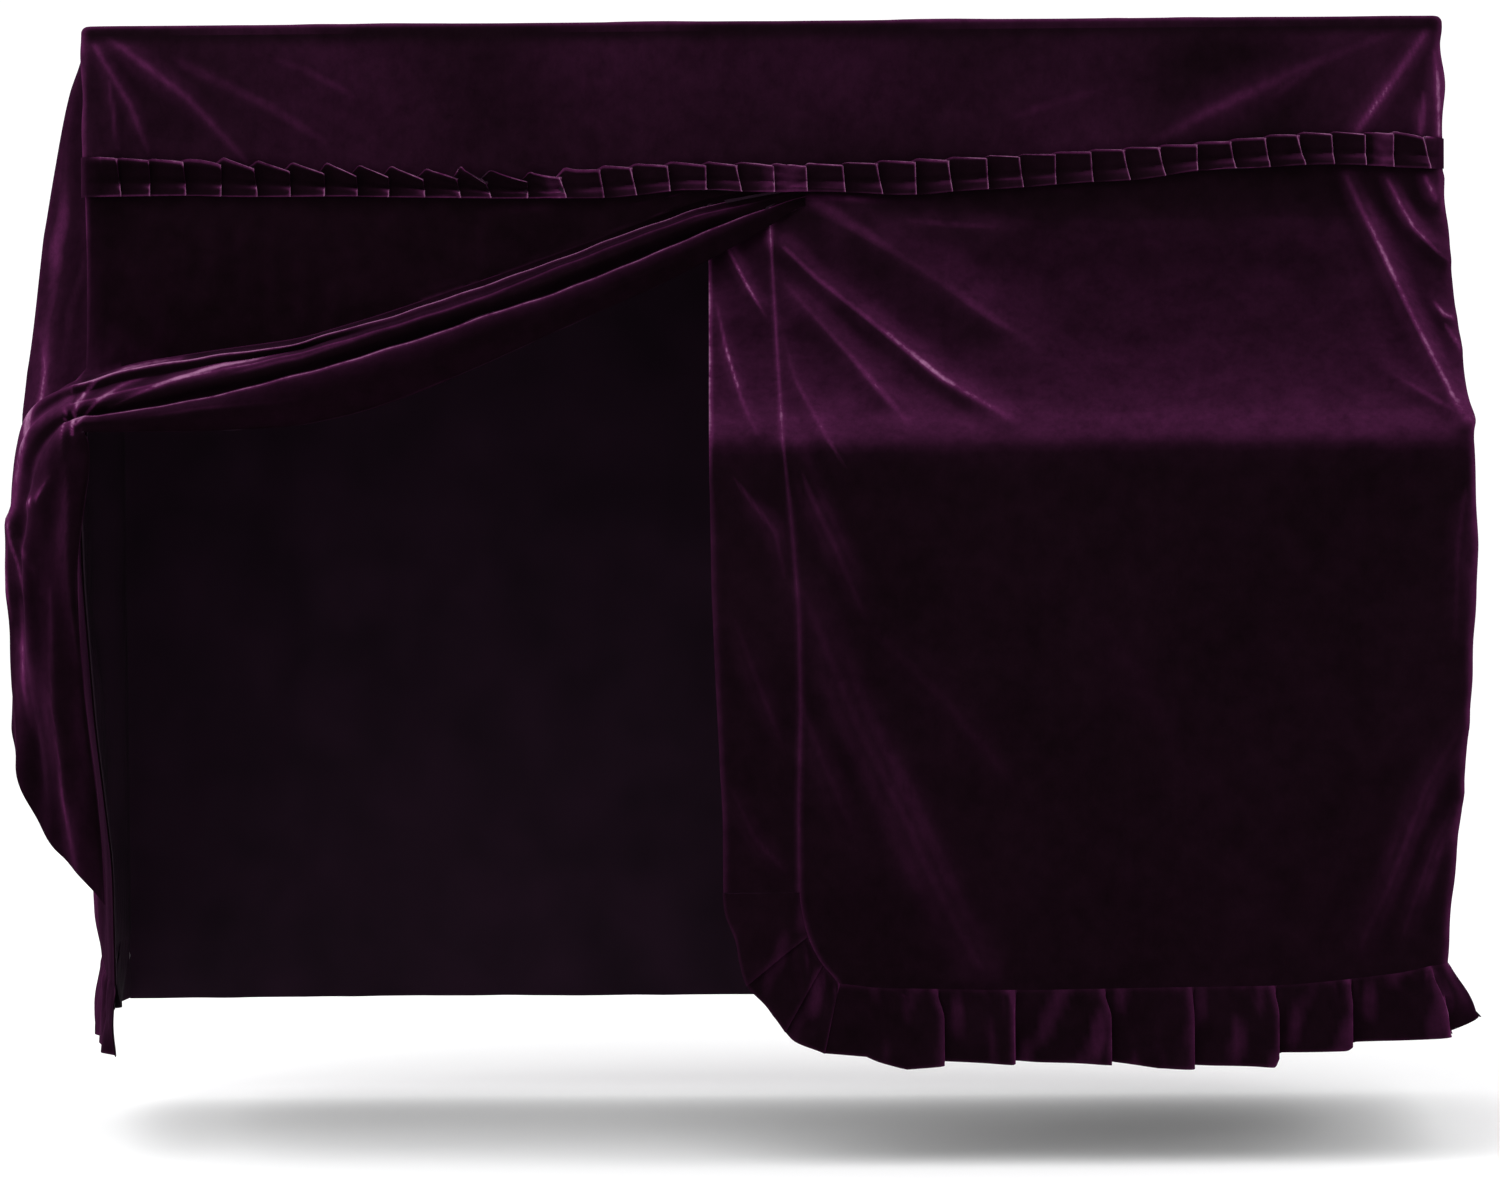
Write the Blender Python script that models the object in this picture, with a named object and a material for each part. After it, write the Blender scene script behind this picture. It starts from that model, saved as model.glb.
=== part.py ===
"""A full velvet cover for an upright piano, hanging as it does on the piano.

The left front leaf is gathered to the middle under a pleated heading and lies in a swag over the left
arm. The right front leaf hangs over the key shelf to a pleated hem. The cover is hollow and open below.

Metres, +Z up. The front faces -Y and +X is to the right. The origin is the middle of the underside of
the top panel, which lies on the piano's lid. Heights in the tables and functions are taken from DATUM
below that, and the finished pieces are lowered by it.
"""
from collections import namedtuple
import math

import bpy
from mathutils import Matrix
import numpy as np

# Driving dimensions
THICK = 0.002           # cloth
SEAM = 0.0005           # gap between two pieces that are sewn edge to edge
DATUM = 0.009           # how far the zero of the heights here lies below the lid
HALF_WIDTH = 0.752      # of the lid, with the cloth on it
LID_FRONT = -0.187
BACK = 0.187
SHELF_FRONT = -0.437    # the key shelf's front edge
CORNER = 0.015          # plan radius of the upright corners
LIP = 0.008             # turn-down round the top panel
HEM_STRAIGHT = 0.003    # plain stretch at the end of a turned edge
SIDE_HEM = -1.030       # where the ruffles start
RUFFLE_DROP = 0.078
HEADING_PITCH = 0.0382
HEADING_RELIEF = 0.0065
HEM_PITCH = 0.088
HEADING_FLARE = 0.003   # added to the relief at both edges
HEM_RELIEF = 0.014
HEM_FLARE = 0.030       # how far the hem stands out at the right front corner
HEM_LIFT = 0.038        # and how far it lifts there
HEM_LIFT_SHARE = 0.14   # over this share of the side's depth
LEAF_COLUMNS = 21
LAP = 0.004             # the left side laps this far behind the front
LAP_CLEAR = 0.0024
LAP_SHARE = 0.025       # share of a side's depth that stays plain at its front edge
HEADING_CLEAR = -0.187  # below this height the heading leaves room for the folds

PANEL_TOP = DATUM + THICK - LIP - HEM_STRAIGHT - SEAM

VELVET = (0.060, 0.008, 0.055, 1.0)
QUARTER = math.pi / 2

# One pleat, a table of (share of the pitch, relief)
HEADING_PLEAT = ((0.0, 0.0), (0.45, 0.6), (0.93, 1.0))
HEM_PLEAT = ((0.0, 0.0), (0.35, 0.45), (0.7, 0.85), (0.92, 1.0))

# Profiles, each a table of (z, value)
FRONT_Y = ((0, -0.187), (-0.200, -0.187), (-0.222, -0.199), (-0.27, -0.235), (-0.35, -0.305),
           (-0.43, -0.395), (-0.453, -0.424), (-0.475, -0.437), (-1.2, -0.437))
LEFT_FLAT_Y = ((0, -0.187), (-0.200, -0.187), (-0.25, -0.196), (-0.30, -0.212), (-0.34, -0.232),
               (-0.39, -0.265), (-0.44, -0.325), (-0.48, -0.375), (-0.52, -0.400), (-1.2, -0.405))
RIGHT_HALF = ((0, 0.752), (-0.19, 0.752), (-0.22, 0.755), (-0.43, 0.759), (-0.58, 0.763), (-0.65, 0.756),
              (-0.72, 0.756), (-0.78, 0.750), (-0.86, 0.743), (-0.93, 0.732), (-1.0, 0.727), (-1.2, 0.722))
LEFT_HALF = ((0, 0.752), (-0.20, 0.749), (-0.40, 0.742), (-0.60, 0.736), (-0.75, 0.725),
             (-0.90, 0.708), (-1.2, 0.704))

# Lines across the front, each a table of (x, z)
HEADING_TOP = ((-0.75, -0.134), (-0.62, -0.140), (-0.46, -0.149), (-0.27, -0.160), (-0.18, -0.151),
               (-0.10, -0.145), (0.045, -0.149), (0.20, -0.144), (0.36, -0.135), (0.48, -0.129),
               (0.59, -0.119), (0.70, -0.117), (0.75, -0.126))
HEADING_FOOT = ((-0.75, -0.178), (-0.61, -0.176), (-0.40, -0.181), (-0.18, -0.183), (-0.07, -0.175),
                (0.045, -0.177), (0.17, -0.182), (0.29, -0.174), (0.40, -0.168), (0.48, -0.159),
                (0.59, -0.151), (0.75, -0.157))
HEADING_SLANT = ((-0.75, 0), (-0.62, 0.003), (-0.57, 0.010), (-0.24, 0.010), (-0.19, 0.002), (0.75, 0.002))
LEAF_FOOT = ((0.08, -1.0275), (0.12, -1.033), (0.27, -1.036), (0.55, -1.033), (0.62, -1.027),
             (0.68, -1.020), (0.72, -1.010), (0.80, -1.010))
LEAF_HEM = ((0.06, -1.104), (0.15, -1.120), (0.25, -1.114), (0.42, -1.119), (0.54, -1.117),
            (0.62, -1.102), (0.712, -1.088), (0.745, -1.067), (0.80, -1.065))

# The free edge of the right leaf, and the seam of its border, each a table of (z, x)
BORDER_EDGE = ((-0.10, -0.062), (-0.25, -0.059), (-0.61, -0.055), (-0.72, -0.051), (-0.85, -0.045),
               (-1.2, -0.046))
BORDER_SEAM = ((-0.10, 0.004), (-0.22, 0.009), (-0.37, 0.017), (-0.45, 0.022), (-0.53, 0.030),
               (-0.63, 0.038), (-0.73, 0.039), (-0.84, 0.036), (-0.93, 0.036), (-0.958, 0.040),
               (-0.981, 0.046), (-1.000, 0.055), (-1.015, 0.066), (-1.0275, 0.080))
BORDER_FOOT = -0.930
# The outer edge of the ruffle round the leaf's lower corner, a table of (x, z)
CORNER_HEM = ((-0.046, -0.931), (-0.038, -0.965), (-0.031, -1.000), (-0.017, -1.030), (0.004, -1.062),
              (0.030, -1.086), (0.060, -1.104))

# Folds in the cloth. A fold runs through its points (x, z) and stands `rise` proud of the cloth, with
# `width` on either side of its crest. `start` and `end` are how full it is at its two ends.
Fold = namedtuple("Fold", "points rise width start end")
VALANCE_FOLDS = (
    Fold(((-0.735, 0.010), (-0.634, -0.068), (-0.563, -0.146)), 0.006, 0.017, 1.0, 0.2),
    Fold(((-0.735, -0.010), (-0.696, -0.078), (-0.675, -0.135)), 0.005, 0.013, 1.0, 0.2),
    Fold(((-0.640, -0.030), (-0.541, -0.080), (-0.467, -0.128)), 0.003, 0.026, 0.5, 0.1),
    Fold(((0.738, 0.000), (0.695, -0.056), (0.650, -0.113)), 0.005, 0.012, 1.0, 0.6),
    Fold(((0.700, -0.005), (0.576, -0.055), (0.490, -0.095), (0.422, -0.129)), 0.005, 0.026, 0.4, 0.4),
    Fold(((0.395, -0.061), (0.263, -0.101)), 0.003, 0.026, 0.2, 0.2),
)
LEAF_FOLDS = (
    # from the right end of the heading down to the shelf's corner
    Fold(((0.644, -0.165), (0.671, -0.226), (0.702, -0.311), (0.750, -0.432)), 0.017, 0.016, 0.4, 0.3),
    Fold(((0.690, -0.170), (0.716, -0.222), (0.748, -0.258)), 0.010, 0.011, 0.6, 0.4),
    # fanning from the gather
    Fold(((0.060, -0.190), (0.148, -0.246), (0.215, -0.292), (0.313, -0.367)), 0.012, 0.022, 0.5, 0.1),
    Fold(((0.035, -0.225), (0.090, -0.309), (0.162, -0.366), (0.265, -0.426)), 0.014, 0.020, 0.4, 0.2),
    Fold(((0.028, -0.270), (0.062, -0.332), (0.105, -0.382), (0.144, -0.420)), 0.011, 0.016, 0.3, 0.3),
    # below the shelf, from the border down to the hem
    Fold(((0.022, -0.419), (0.049, -0.502), (0.077, -0.562), (0.109, -0.640)), 0.010, 0.018, 0.3, 0.1),
    Fold(((0.043, -0.610), (0.097, -0.745), (0.141, -0.833), (0.184, -0.927), (0.227, -1.010)),
         0.018, 0.026, 0.5, 0.6),
    Fold(((0.036, -0.720), (0.058, -0.778), (0.096, -0.870)), 0.009, 0.018, 0.3, 0.1),
    Fold(((0.109, -0.641), (0.185, -0.718), (0.270, -0.820)), 0.007, 0.024, 0.2, 0.1),
    # below the shelf's right corner
    Fold(((0.742, -0.755), (0.701, -0.826), (0.662, -0.930), (0.634, -0.990)), 0.011, 0.016, 0.5, 0.5),
    Fold(((0.740, -0.830), (0.712, -0.882), (0.680, -0.975)), 0.009, 0.013, 0.4, 0.4),
)
# On the side panels the first number of a point is y, not x
RIGHT_SIDE_FOLDS = (
    Fold(((-0.12, -0.06), (-0.20, -0.26), (-0.34, -0.45)), 0.008, 0.030, 0.2, 0.4),
    Fold(((-0.02, -0.10), (-0.10, -0.50), (-0.22, -0.98)), 0.010, 0.045, 0.1, 0.6),
    Fold(((0.08, -0.20), (0.05, -0.60), (0.02, -0.98)), 0.008, 0.040, 0.1, 0.6),
    Fold(((-0.34, -0.50), (-0.33, -0.75), (-0.30, -0.98)), 0.008, 0.035, 0.2, 0.6),
)
LEFT_SIDE_FOLDS = (
    Fold(((-0.14, -0.02), (-0.12, -0.18), (-0.13, -0.36), (-0.16, -0.52)), 0.016, 0.030, 0.2, 0.4),
    Fold(((0.03, -0.04), (0.02, -0.40), (-0.06, -0.98)), 0.014, 0.045, 0.1, 0.6),
    Fold(((0.12, -0.10), (0.10, -0.60), (0.08, -0.98)), 0.008, 0.035, 0.1, 0.5),
    Fold(((-0.26, -0.60), (-0.22, -0.80), (-0.20, -0.98)), 0.009, 0.035, 0.3, 0.6),
)
# How far the left side swells out, a table of (z, swell), and where along the side, (y, share)
LEFT_SWELL = ((-0.005, 0), (-0.05, 0.015), (-0.10, 0.024), (-0.17, 0.033), (-0.23, 0.039), (-0.29, 0.050),
              (-0.37, 0.067), (-0.45, 0.066), (-0.55, 0.050), (-0.75, 0.030), (-0.90, 0.024), (-1.2, 0.018))
LEFT_SWELL_SHARE = ((-0.40, 0), (-0.32, 0.08), (-0.24, 0.35), (-0.15, 0.93), (-0.08, 1), (0.05, 0.7),
                    (0.18, 0))

# The swag of the left leaf. Each row runs from the gather to the left arm, then down outside the side as
# a tail. `slope` is how far the row lies out along the slope to the shelf, from 0 on the upper front to 1,
# and `out` how far it stands out from there. `arm_z` is where it crosses the arm, `tail_x` and `tail_y`
# are its place on the tail, `foot_x` and `hem` where the tail ends.
SwagRow = namedtuple("SwagRow", "line slope out arm_z tail_x tail_y foot_x hem")
SWAG_ROWS = (
    SwagRow("above", 0.45, -0.012, -0.352, -0.792, -0.290, -0.792, -0.742),
    SwagRow("upper", 1.00, 0.012, -0.382, -0.816, -0.305, -0.817, -0.750),
    SwagRow("valley", 1.00, 0.006, -0.392, -0.808, -0.320, -0.809, -0.776),
    SwagRow("middle", 1.00, 0.030, -0.402, -0.816, -0.338, -0.808, -0.800),
    SwagRow("groove", 1.00, 0.010, -0.412, -0.790, -0.353, -0.780, -0.846),
    SwagRow("lower", 1.00, 0.026, -0.420, -0.788, -0.378, -0.752, -0.884),
    SwagRow("under", 1.00, 0.020, -0.428, -0.762, -0.400, -0.736, -0.912),
    SwagRow("edge", 1.00, 0.004, -0.434, -0.724, -0.418, -0.700, -0.940),
)
SWAG_BETWEEN = {"valley": ("upper", "middle"), "groove": ("middle", "lower"), "under": ("lower", "edge")}
ABOVE_SWAG = 0.030      # from the upper ridge to where the flat cloth begins
ARM_DROP = 0.075        # over which a row turns from across to down
SHOULDER_IN = 0.012     # how far a row's turn over the arm stays in from the tail
# The swag's lines, each a table of (x, z)
SWAG_LINES = {
    "upper": ((-0.735, -0.385), (-0.69, -0.369), (-0.61, -0.357), (-0.51, -0.344), (-0.42, -0.318),
              (-0.29, -0.275), (-0.18, -0.236), (-0.07, -0.195), (0.048, -0.172)),
    "middle": ((-0.735, -0.404), (-0.66, -0.388), (-0.55, -0.366), (-0.45, -0.340), (-0.34, -0.306),
               (-0.23, -0.263), (-0.12, -0.221), (-0.07, -0.203), (0.048, -0.176)),
    "lower": ((-0.735, -0.420), (-0.66, -0.411), (-0.55, -0.389), (-0.45, -0.362), (-0.34, -0.328),
              (-0.23, -0.291), (-0.12, -0.247), (-0.07, -0.225), (-0.015, -0.204), (0.048, -0.181)),
    "edge": ((-0.735, -0.434), (-0.60, -0.434), (-0.50, -0.430), (-0.43, -0.415), (-0.37, -0.394),
             (-0.29, -0.360), (-0.18, -0.310), (-0.12, -0.284), (-0.06, -0.254), (0.010, -0.215),
             (0.048, -0.189)),
}
GATHER_X = 0.048
ARM_X = -0.726


def curve(table, at, blur=0.0):
    """Read a table of (place, value) at the given places, rounded over `blur` on either side."""
    places = np.array([row[0] for row in table], float)
    values = np.array([row[1] for row in table], float)
    order = np.argsort(places)
    offsets = np.linspace(-blur, blur, 5) if blur else (0.0,)
    return sum(np.interp(np.asarray(at, float) + shift, places[order], values[order])
               for shift in offsets) / len(offsets)


def ease(low, high, at):
    """0 up to `low`, 1 from `high`, and smooth between them."""
    share = np.clip((at - low) / (high - low), 0, 1)
    return share * share * (3 - 2 * share)


def folds_at(folds, across, z):
    """How far a set of folds lifts the cloth at the given places."""
    total = np.zeros(np.broadcast(across, z).shape)
    for fold in folds:
        points = np.array(fold.points)
        steps = np.diff(points, axis=0)
        lengths = np.hypot(*steps.T)
        starts = np.concatenate([[0], np.cumsum(lengths)])
        nearest = np.full(total.shape, np.inf)
        along = np.zeros(total.shape)
        for (px, pz), (dx, dz), length, start in zip(points, steps, lengths, starts):
            share = np.clip(((across - px) * dx + (z - pz) * dz) / length ** 2, 0, 1)
            gap = np.hypot(across - px - share * dx, z - pz - share * dz)
            closer = gap < nearest
            nearest = np.where(closer, gap, nearest)
            along = np.where(closer, (start + share * length) / starts[-1], along)
        fullness = np.interp(along, (0, 0.4, 0.7, 1), (fold.start, 1, 1, fold.end))
        total += fold.rise * fullness * np.exp(-(nearest / fold.width) ** 2)
    return total


def front_y(z):
    return curve(FRONT_Y, z, 0.012)


def left_flat_y(z):
    return curve(LEFT_FLAT_Y, z, 0.012)


def heading_seam(x):
    """Height of the seam behind the heading."""
    return 0.5 * curve(HEADING_TOP, x) + 0.5 * curve(HEADING_FOOT, x)


def wrap(along, front, half):
    """Plan position and outward direction, `along` the cover's girth from the middle of its front."""
    side = np.sign(along)
    reach = np.abs(along)
    flat = half - CORNER
    turn = np.clip((reach - flat) / CORNER, 0, QUARTER)
    past = np.maximum(reach - flat - CORNER * QUARTER, 0)
    x = side * (np.minimum(reach, flat) + CORNER * np.sin(turn))
    y = front + CORNER * (1 - np.cos(turn)) + past
    return x, y, side * np.sin(turn), -np.cos(turn)


def corner_reach(half):
    """Girth from the middle of the front to the end of its corner."""
    return half - CORNER + CORNER * QUARTER


def place(along, z, front, half, rise):
    """Points on the cover's outer face."""
    x, y, out_x, out_y = wrap(along, front, half)
    return np.stack(np.broadcast_arrays(x + out_x * rise, y + out_y * rise, z), axis=-1)


def velvet(name):
    material = bpy.data.materials.new(name + "_velvet")
    material.use_nodes = True
    shader = material.node_tree.nodes["Principled BSDF"]
    shader.inputs["Base Color"].default_value = VELVET
    shader.inputs["Roughness"].default_value = 0.85
    shader.inputs["Metallic"].default_value = 0.0
    material.diffuse_color = VELVET
    return material


def sheet(name, grids, cap=None):
    """A cloth of even thickness whose outer face is made of one or more grids of points.

    A grid's rows run downwards and its columns to the right as seen from outside. Grids share the
    points that they have in common. `cap` is a ring of points that is closed with one flat face.
    """
    index = {}
    points = []
    faces = []

    def number(point):
        key = tuple(np.round(point, 6))
        if key not in index:
            index[key] = len(points)
            points.append(key)
        return index[key]

    for grid in grids:
        rows, columns = grid.shape[:2]
        for r in range(rows - 1):
            for c in range(columns - 1):
                a, b, d, e = grid[r, c], grid[r + 1, c], grid[r + 1, c + 1], grid[r, c + 1]
                if np.linalg.norm(a - d) < np.linalg.norm(b - e):
                    corners = ((a, b, d), (a, d, e))
                else:
                    corners = ((a, b, e), (b, d, e))
                for corner in corners:
                    face = [number(point) for point in corner]
                    if len(set(face)) == 3:
                        faces.append(face)
    if cap is not None:
        faces.append([number(point) for point in cap])
    mesh = bpy.data.meshes.new(name)
    mesh.from_pydata(points, [], faces)
    mesh.update()
    mesh.materials.append(velvet(name))
    cloth = bpy.data.objects.new(name, mesh)
    bpy.context.scene.collection.objects.link(cloth)
    solidify = cloth.modifiers.new("thickness", "SOLIDIFY")
    solidify.thickness = THICK
    solidify.offset = -1
    mesh.shade_smooth()
    return cloth


def top_panel():
    """The flat top, with its edge turned down all round."""
    half_x, half_y = HALF_WIDTH, (BACK - LID_FRONT) / 2
    turns = np.linspace(0, QUARTER, 5)
    rings = []
    for angle in (None, 0, QUARTER / 3, 2 * QUARTER / 3, QUARTER):
        inset = LIP * (1 - math.cos(angle or 0))
        z = DATUM + THICK - LIP * (1 - math.sin(angle or 0)) - (HEM_STRAIGHT if angle is None else 0)
        ring = []
        for quarter, (side_x, side_y) in enumerate(((1, -1), (1, 1), (-1, 1), (-1, -1))):
            start = (quarter - 1) * QUARTER
            for turn in turns:
                ring.append((side_x * (half_x - CORNER) + (CORNER - inset) * math.cos(start + turn),
                             side_y * (half_y - CORNER) + (CORNER - inset) * math.sin(start + turn),
                             z))
        rings.append(ring + ring[:1])
    grid = np.array(rings[::-1])
    return sheet("top_panel", [grid], cap=grid[0, :-1])


def corner_columns(half, side):
    """Girth positions round one corner, outward from the flat of the front."""
    turns = np.concatenate([np.linspace(0, QUARTER, 4)[1:], [QUARTER + HEM_STRAIGHT / CORNER]])
    return side * (half - CORNER + CORNER * turns)


def front_valance():
    flat = HALF_WIDTH - CORNER
    along = np.concatenate([corner_columns(HALF_WIDTH, -1)[::-1], np.linspace(-flat, flat, 38),
                            corner_columns(HALF_WIDTH, 1)])
    above = curve(HEADING_TOP, along) + 0.005
    rows = []
    for share in (0, 0.15, 0.35, 0.55, 0.75, 0.9, 1):
        z = PANEL_TOP + (above - PANEL_TOP) * share
        rise = folds_at(VALANCE_FOLDS, along, z) * min(ease(0, 0.15, share), ease(1, 0.9, share))
        rows.append(place(along, z, LID_FRONT, HALF_WIDTH, rise))
    rows.append(place(along, heading_seam(along) + SEAM, LID_FRONT, HALF_WIDTH, 0.0))
    return sheet("front_valance", [np.array(rows)])


def pleats(count, profile):
    """Columns through a run of pleats as (share of the run, share of the pleat, relief)."""
    columns = [((pleat + along) / count, along, relief)
               for pleat in range(count) for along, relief in profile]
    return columns + [(1.0, 0.0, 0.0)]


def header_ruffle():
    """The pleated heading: each pleat rises to a fold at its right and tucks under the next."""
    end = HALF_WIDTH - CORNER
    count = round(2 * end / HEADING_PITCH)
    turned = corner_columns(HALF_WIDTH, 1)[:2]
    columns = [(-reach, 0.0, 0.0) for reach in turned[::-1]]
    for share, along, relief in pleats(count, HEADING_PLEAT):
        columns.append((end * (2 * share - 1), relief, along - 0.5))
    columns += [(reach, 0.0, 0.0) for reach in turned]
    along, relief, slant = np.array(columns).T
    rows = []
    for down in (0, 0.5, 1):
        z = curve(HEADING_TOP, along) * (1 - down) + curve(HEADING_FOOT, along) * down
        z = z - slant * curve(HEADING_SLANT, along) * (1 - down)
        flare = HEADING_FLARE * (2 * down - 1) ** 2
        rows.append(place(along, z, LID_FRONT, HALF_WIDTH, THICK + SEAM + relief * (HEADING_RELIEF + flare)))
    return sheet("header_ruffle", [np.array(rows)])


def swag_line(name, x):
    """Height of a row of the swag at `x`. The rows draw together towards the gather."""
    if name == "above":
        return curve(SWAG_LINES["upper"], x) + ABOVE_SWAG * (0.15 + 0.85 * ease(GATHER_X, -0.12, x))
    if name in SWAG_BETWEEN:
        return sum(curve(SWAG_LINES[line], x) for line in SWAG_BETWEEN[name]) / 2
    return curve(SWAG_LINES[name], x)


def tail_line(row, start):
    """A row's way from the swag at `start`, over the arm and down outside the side."""
    shoulder = np.array([row.tail_x + SHOULDER_IN, (start[1] + row.tail_y) / 2, start[2] - 0.010])
    landing = np.array([row.tail_x, row.tail_y, row.arm_z - ARM_DROP])
    line = [(1 - t) ** 2 * start + 2 * t * (1 - t) * shoulder + t ** 2 * landing
            for t in (0.25, 0.5, 0.75, 1.0)]
    for z in np.linspace(landing[2], row.hem, 8)[1:]:
        inward = ease(-0.62, row.hem, z)
        line.append(np.array([row.tail_x + (row.foot_x - row.tail_x) * inward, row.tail_y, z]))
    return line


def left_leaf():
    """Flat above, a swag of three folds below, and a tail outside the left side."""
    x = np.concatenate([np.linspace(ARM_X, -0.40, 10), np.linspace(-0.37, -0.03, 10),
                        [-0.005, 0.022, GATHER_X]])
    swag = []
    for row in SWAG_ROWS:
        z = swag_line(row.line, x)
        out = row.out * ease(HEADING_CLEAR, -0.215, z) * ease(GATHER_X + 0.03, -0.10, x)
        y = LID_FRONT + (front_y(z) - LID_FRONT) * row.slope - out - 0.003 * ease(HEADING_CLEAR, -0.20, z)
        swag.append(np.stack([x, y, z], axis=-1))
    swag = np.array(swag)

    head = heading_seam(x) - SEAM
    below = np.maximum(HEADING_CLEAR, (head + swag[0, :, 2]) / 2)
    flat = [np.stack([x, np.full(len(x), LID_FRONT), head], axis=-1)]
    for share in (0, 0.2, 0.4, 0.7):
        z = below + (swag[0, :, 2] - below) * share
        y = LID_FRONT + (swag[0, :, 1] - LID_FRONT) * share ** 1.3
        y += (left_flat_y(z) - y) * ease(-0.64, ARM_X, x)
        flat.append(np.stack([x, y, z], axis=-1))

    tail = np.array([tail_line(row, line[0])[::-1] for row, line in zip(SWAG_ROWS, swag)])
    corner = corner_columns(HALF_WIDTH, -1)[::-1]
    turned = []
    for line in flat:
        z = line[0, 2]
        turned.append(place(corner, z, left_flat_y(z), curve(LEFT_HALF, z), 0.0))
    turned.append(tail[0, -len(corner):])
    flat.append(swag[0])
    return sheet("left_leaf", [np.concatenate([turned, flat], axis=1), np.concatenate([tail, swag], axis=1)])


def leaf_rows():
    return np.concatenate([[-0.187], np.linspace(-0.205, -0.475, 13), np.linspace(-0.51, -0.90, 13),
                           [-0.927, -0.943, -0.960, -0.981, -1.000, -1.015, -1.0275]])


def tucked(along, z):
    """How far the right leaf lies back, behind the left leaf, near the gather."""
    return 0.008 * ease(0.10, 0.06, along) * ease(-0.325, -0.275, z)


def front_rise(along, z):
    """Folds of the right leaf and its border, which fade at the heading."""
    return folds_at(LEAF_FOLDS, along, z) * ease(-0.186, -0.205, z) - tucked(along, z)


def right_leaf():
    rows = []
    head_z = leaf_rows()[0]
    foot_z = leaf_rows()[-1]
    for z in leaf_rows():
        half = curve(RIGHT_HALF, z)
        left = curve(BORDER_SEAM, z) + SEAM
        flat = left + (half - CORNER - left) * np.linspace(0, 1, LEAF_COLUMNS)
        along = np.concatenate([flat, corner_columns(half, 1)])
        if z == head_z:
            head = heading_seam(along) - SEAM
            rows.append(place(along, head, LID_FRONT, half, front_rise(along, head)))
        down = max(0, (z - BORDER_FOOT) / (foot_z - BORDER_FOOT))
        z = z + down * (curve(LEAF_FOOT, along) - foot_z)
        rows.append(place(along, z, front_y(z), half, front_rise(along, z)))
    return sheet("right_leaf", [np.array(rows)])


def right_border():
    rows = []
    heights = leaf_rows()
    head_z = heights[0]
    for z in np.append(heights[heights > BORDER_FOOT], BORDER_FOOT):
        left, right = curve(BORDER_EDGE, z), curve(BORDER_SEAM, z) - SEAM
        along = np.linspace(left, right, 5)
        if z == head_z:
            head = heading_seam(along) - SEAM
            rows.append(place(along, head, LID_FRONT, 1, front_rise(along, head)))
        rows.append(place(along, z, front_y(z), 1, front_rise(along, z)))
    return sheet("right_border", [np.array(rows)])


def right_ruffle():
    """Pleated strip round the leaf's lower corner and along its hem, to the end of the right corner."""
    z_in = np.linspace(BORDER_FOOT - SEAM, -1.0275, 12)
    inner = [(curve(BORDER_SEAM, z) - 2 * SEAM, z) for z in z_in]
    outer = np.array(CORNER_HEM)
    legs = np.concatenate([[0], np.cumsum(np.hypot(*np.diff(outer, axis=0).T))])
    outer_at = np.linspace(0, legs[-1], len(inner))
    outer = [(np.interp(s, legs, outer[:, 0]), np.interp(s, legs, outer[:, 1])) for s in outer_at]
    relief = [0, 0.5, 1.0] + 3 * [0.2, 0.6, 1.0]
    half = curve(RIGHT_HALF, -1.05)
    straight = half - CORNER
    start = 0.098
    count = round((straight - start) / HEM_PITCH)
    for share, _, lift in pleats(count, HEM_PLEAT):
        x = start + (straight - start) * share
        inner.append((x, curve(LEAF_FOOT, x) - 2 * SEAM))
        outer.append((x, curve(LEAF_HEM, x) + 0.004 * (lift - 0.5)))
        relief.append(lift)
    for along in corner_columns(half, 1):
        inner.append((along, curve(LEAF_FOOT, along) - 2 * SEAM))
        outer.append((along, curve(LEAF_HEM, along)))
        relief.append(HEM_FLARE / HEM_RELIEF * ease(straight, corner_reach(half), along))
    inner, outer, relief = np.array(inner), np.array(outer), np.array(relief)
    rows = []
    for share in (0, 0.3, 0.65, 1):
        along = inner[:, 0] + (outer[:, 0] - inner[:, 0]) * share
        z = inner[:, 1] + (outer[:, 1] - inner[:, 1]) * share
        base = front_rise(inner[:, 0], inner[:, 1]) * (1 - 0.5 * share)
        rise = base + relief * HEM_RELIEF * share ** 0.7
        rows.append(place(along, z, SHELF_FRONT, half, rise))
    return sheet("right_ruffle", [np.array(rows)])


def side_y(share, front, gap):
    """Depth along a side, from the end of the front corner to the back."""
    start = front + CORNER + HEM_STRAIGHT + gap
    return start + (BACK - THICK - SEAM - start) * share


def side_rows():
    return np.concatenate([[PANEL_TOP, -0.025, -0.06, -0.10, -0.14], leaf_rows()[:-1], [SIDE_HEM]])


def tuck_under(gap):
    """How far a side lies back where it laps behind the front instead of meeting its edge."""
    return THICK + LAP_CLEAR if gap < 0 else 0.0


def side_panel(name, side, front_of, half_of, gap, folds, swell_of, columns):
    shares = np.concatenate([[0, LAP_SHARE], np.linspace(0.1, 1, columns)])
    rows = []
    for z in side_rows():
        front = front_of(z)
        half = curve(half_of, z)
        y = side_y(shares, front, gap)
        fade = np.minimum(ease(LAP_SHARE, 0.15, shares), ease(1, 0.85, shares))
        rise = (folds_at(folds, y, z) * ease(-0.01, -0.06, z) + swell_of(y, z)) * fade
        rise = rise - tuck_under(gap) * ease(0.1, LAP_SHARE, shares)
        x = side * (half + (HALF_WIDTH - half) * shares + rise)
        rows.append(np.stack(np.broadcast_arrays(x, y, z), axis=-1))
    grid = np.array(rows)
    return sheet(name, [grid if side > 0 else grid[:, ::-1]])


def left_swell(y, z):
    return curve(LEFT_SWELL, z) * curve(LEFT_SWELL_SHARE, y)


def no_swell(y, z):
    return np.zeros(np.shape(y))


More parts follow.
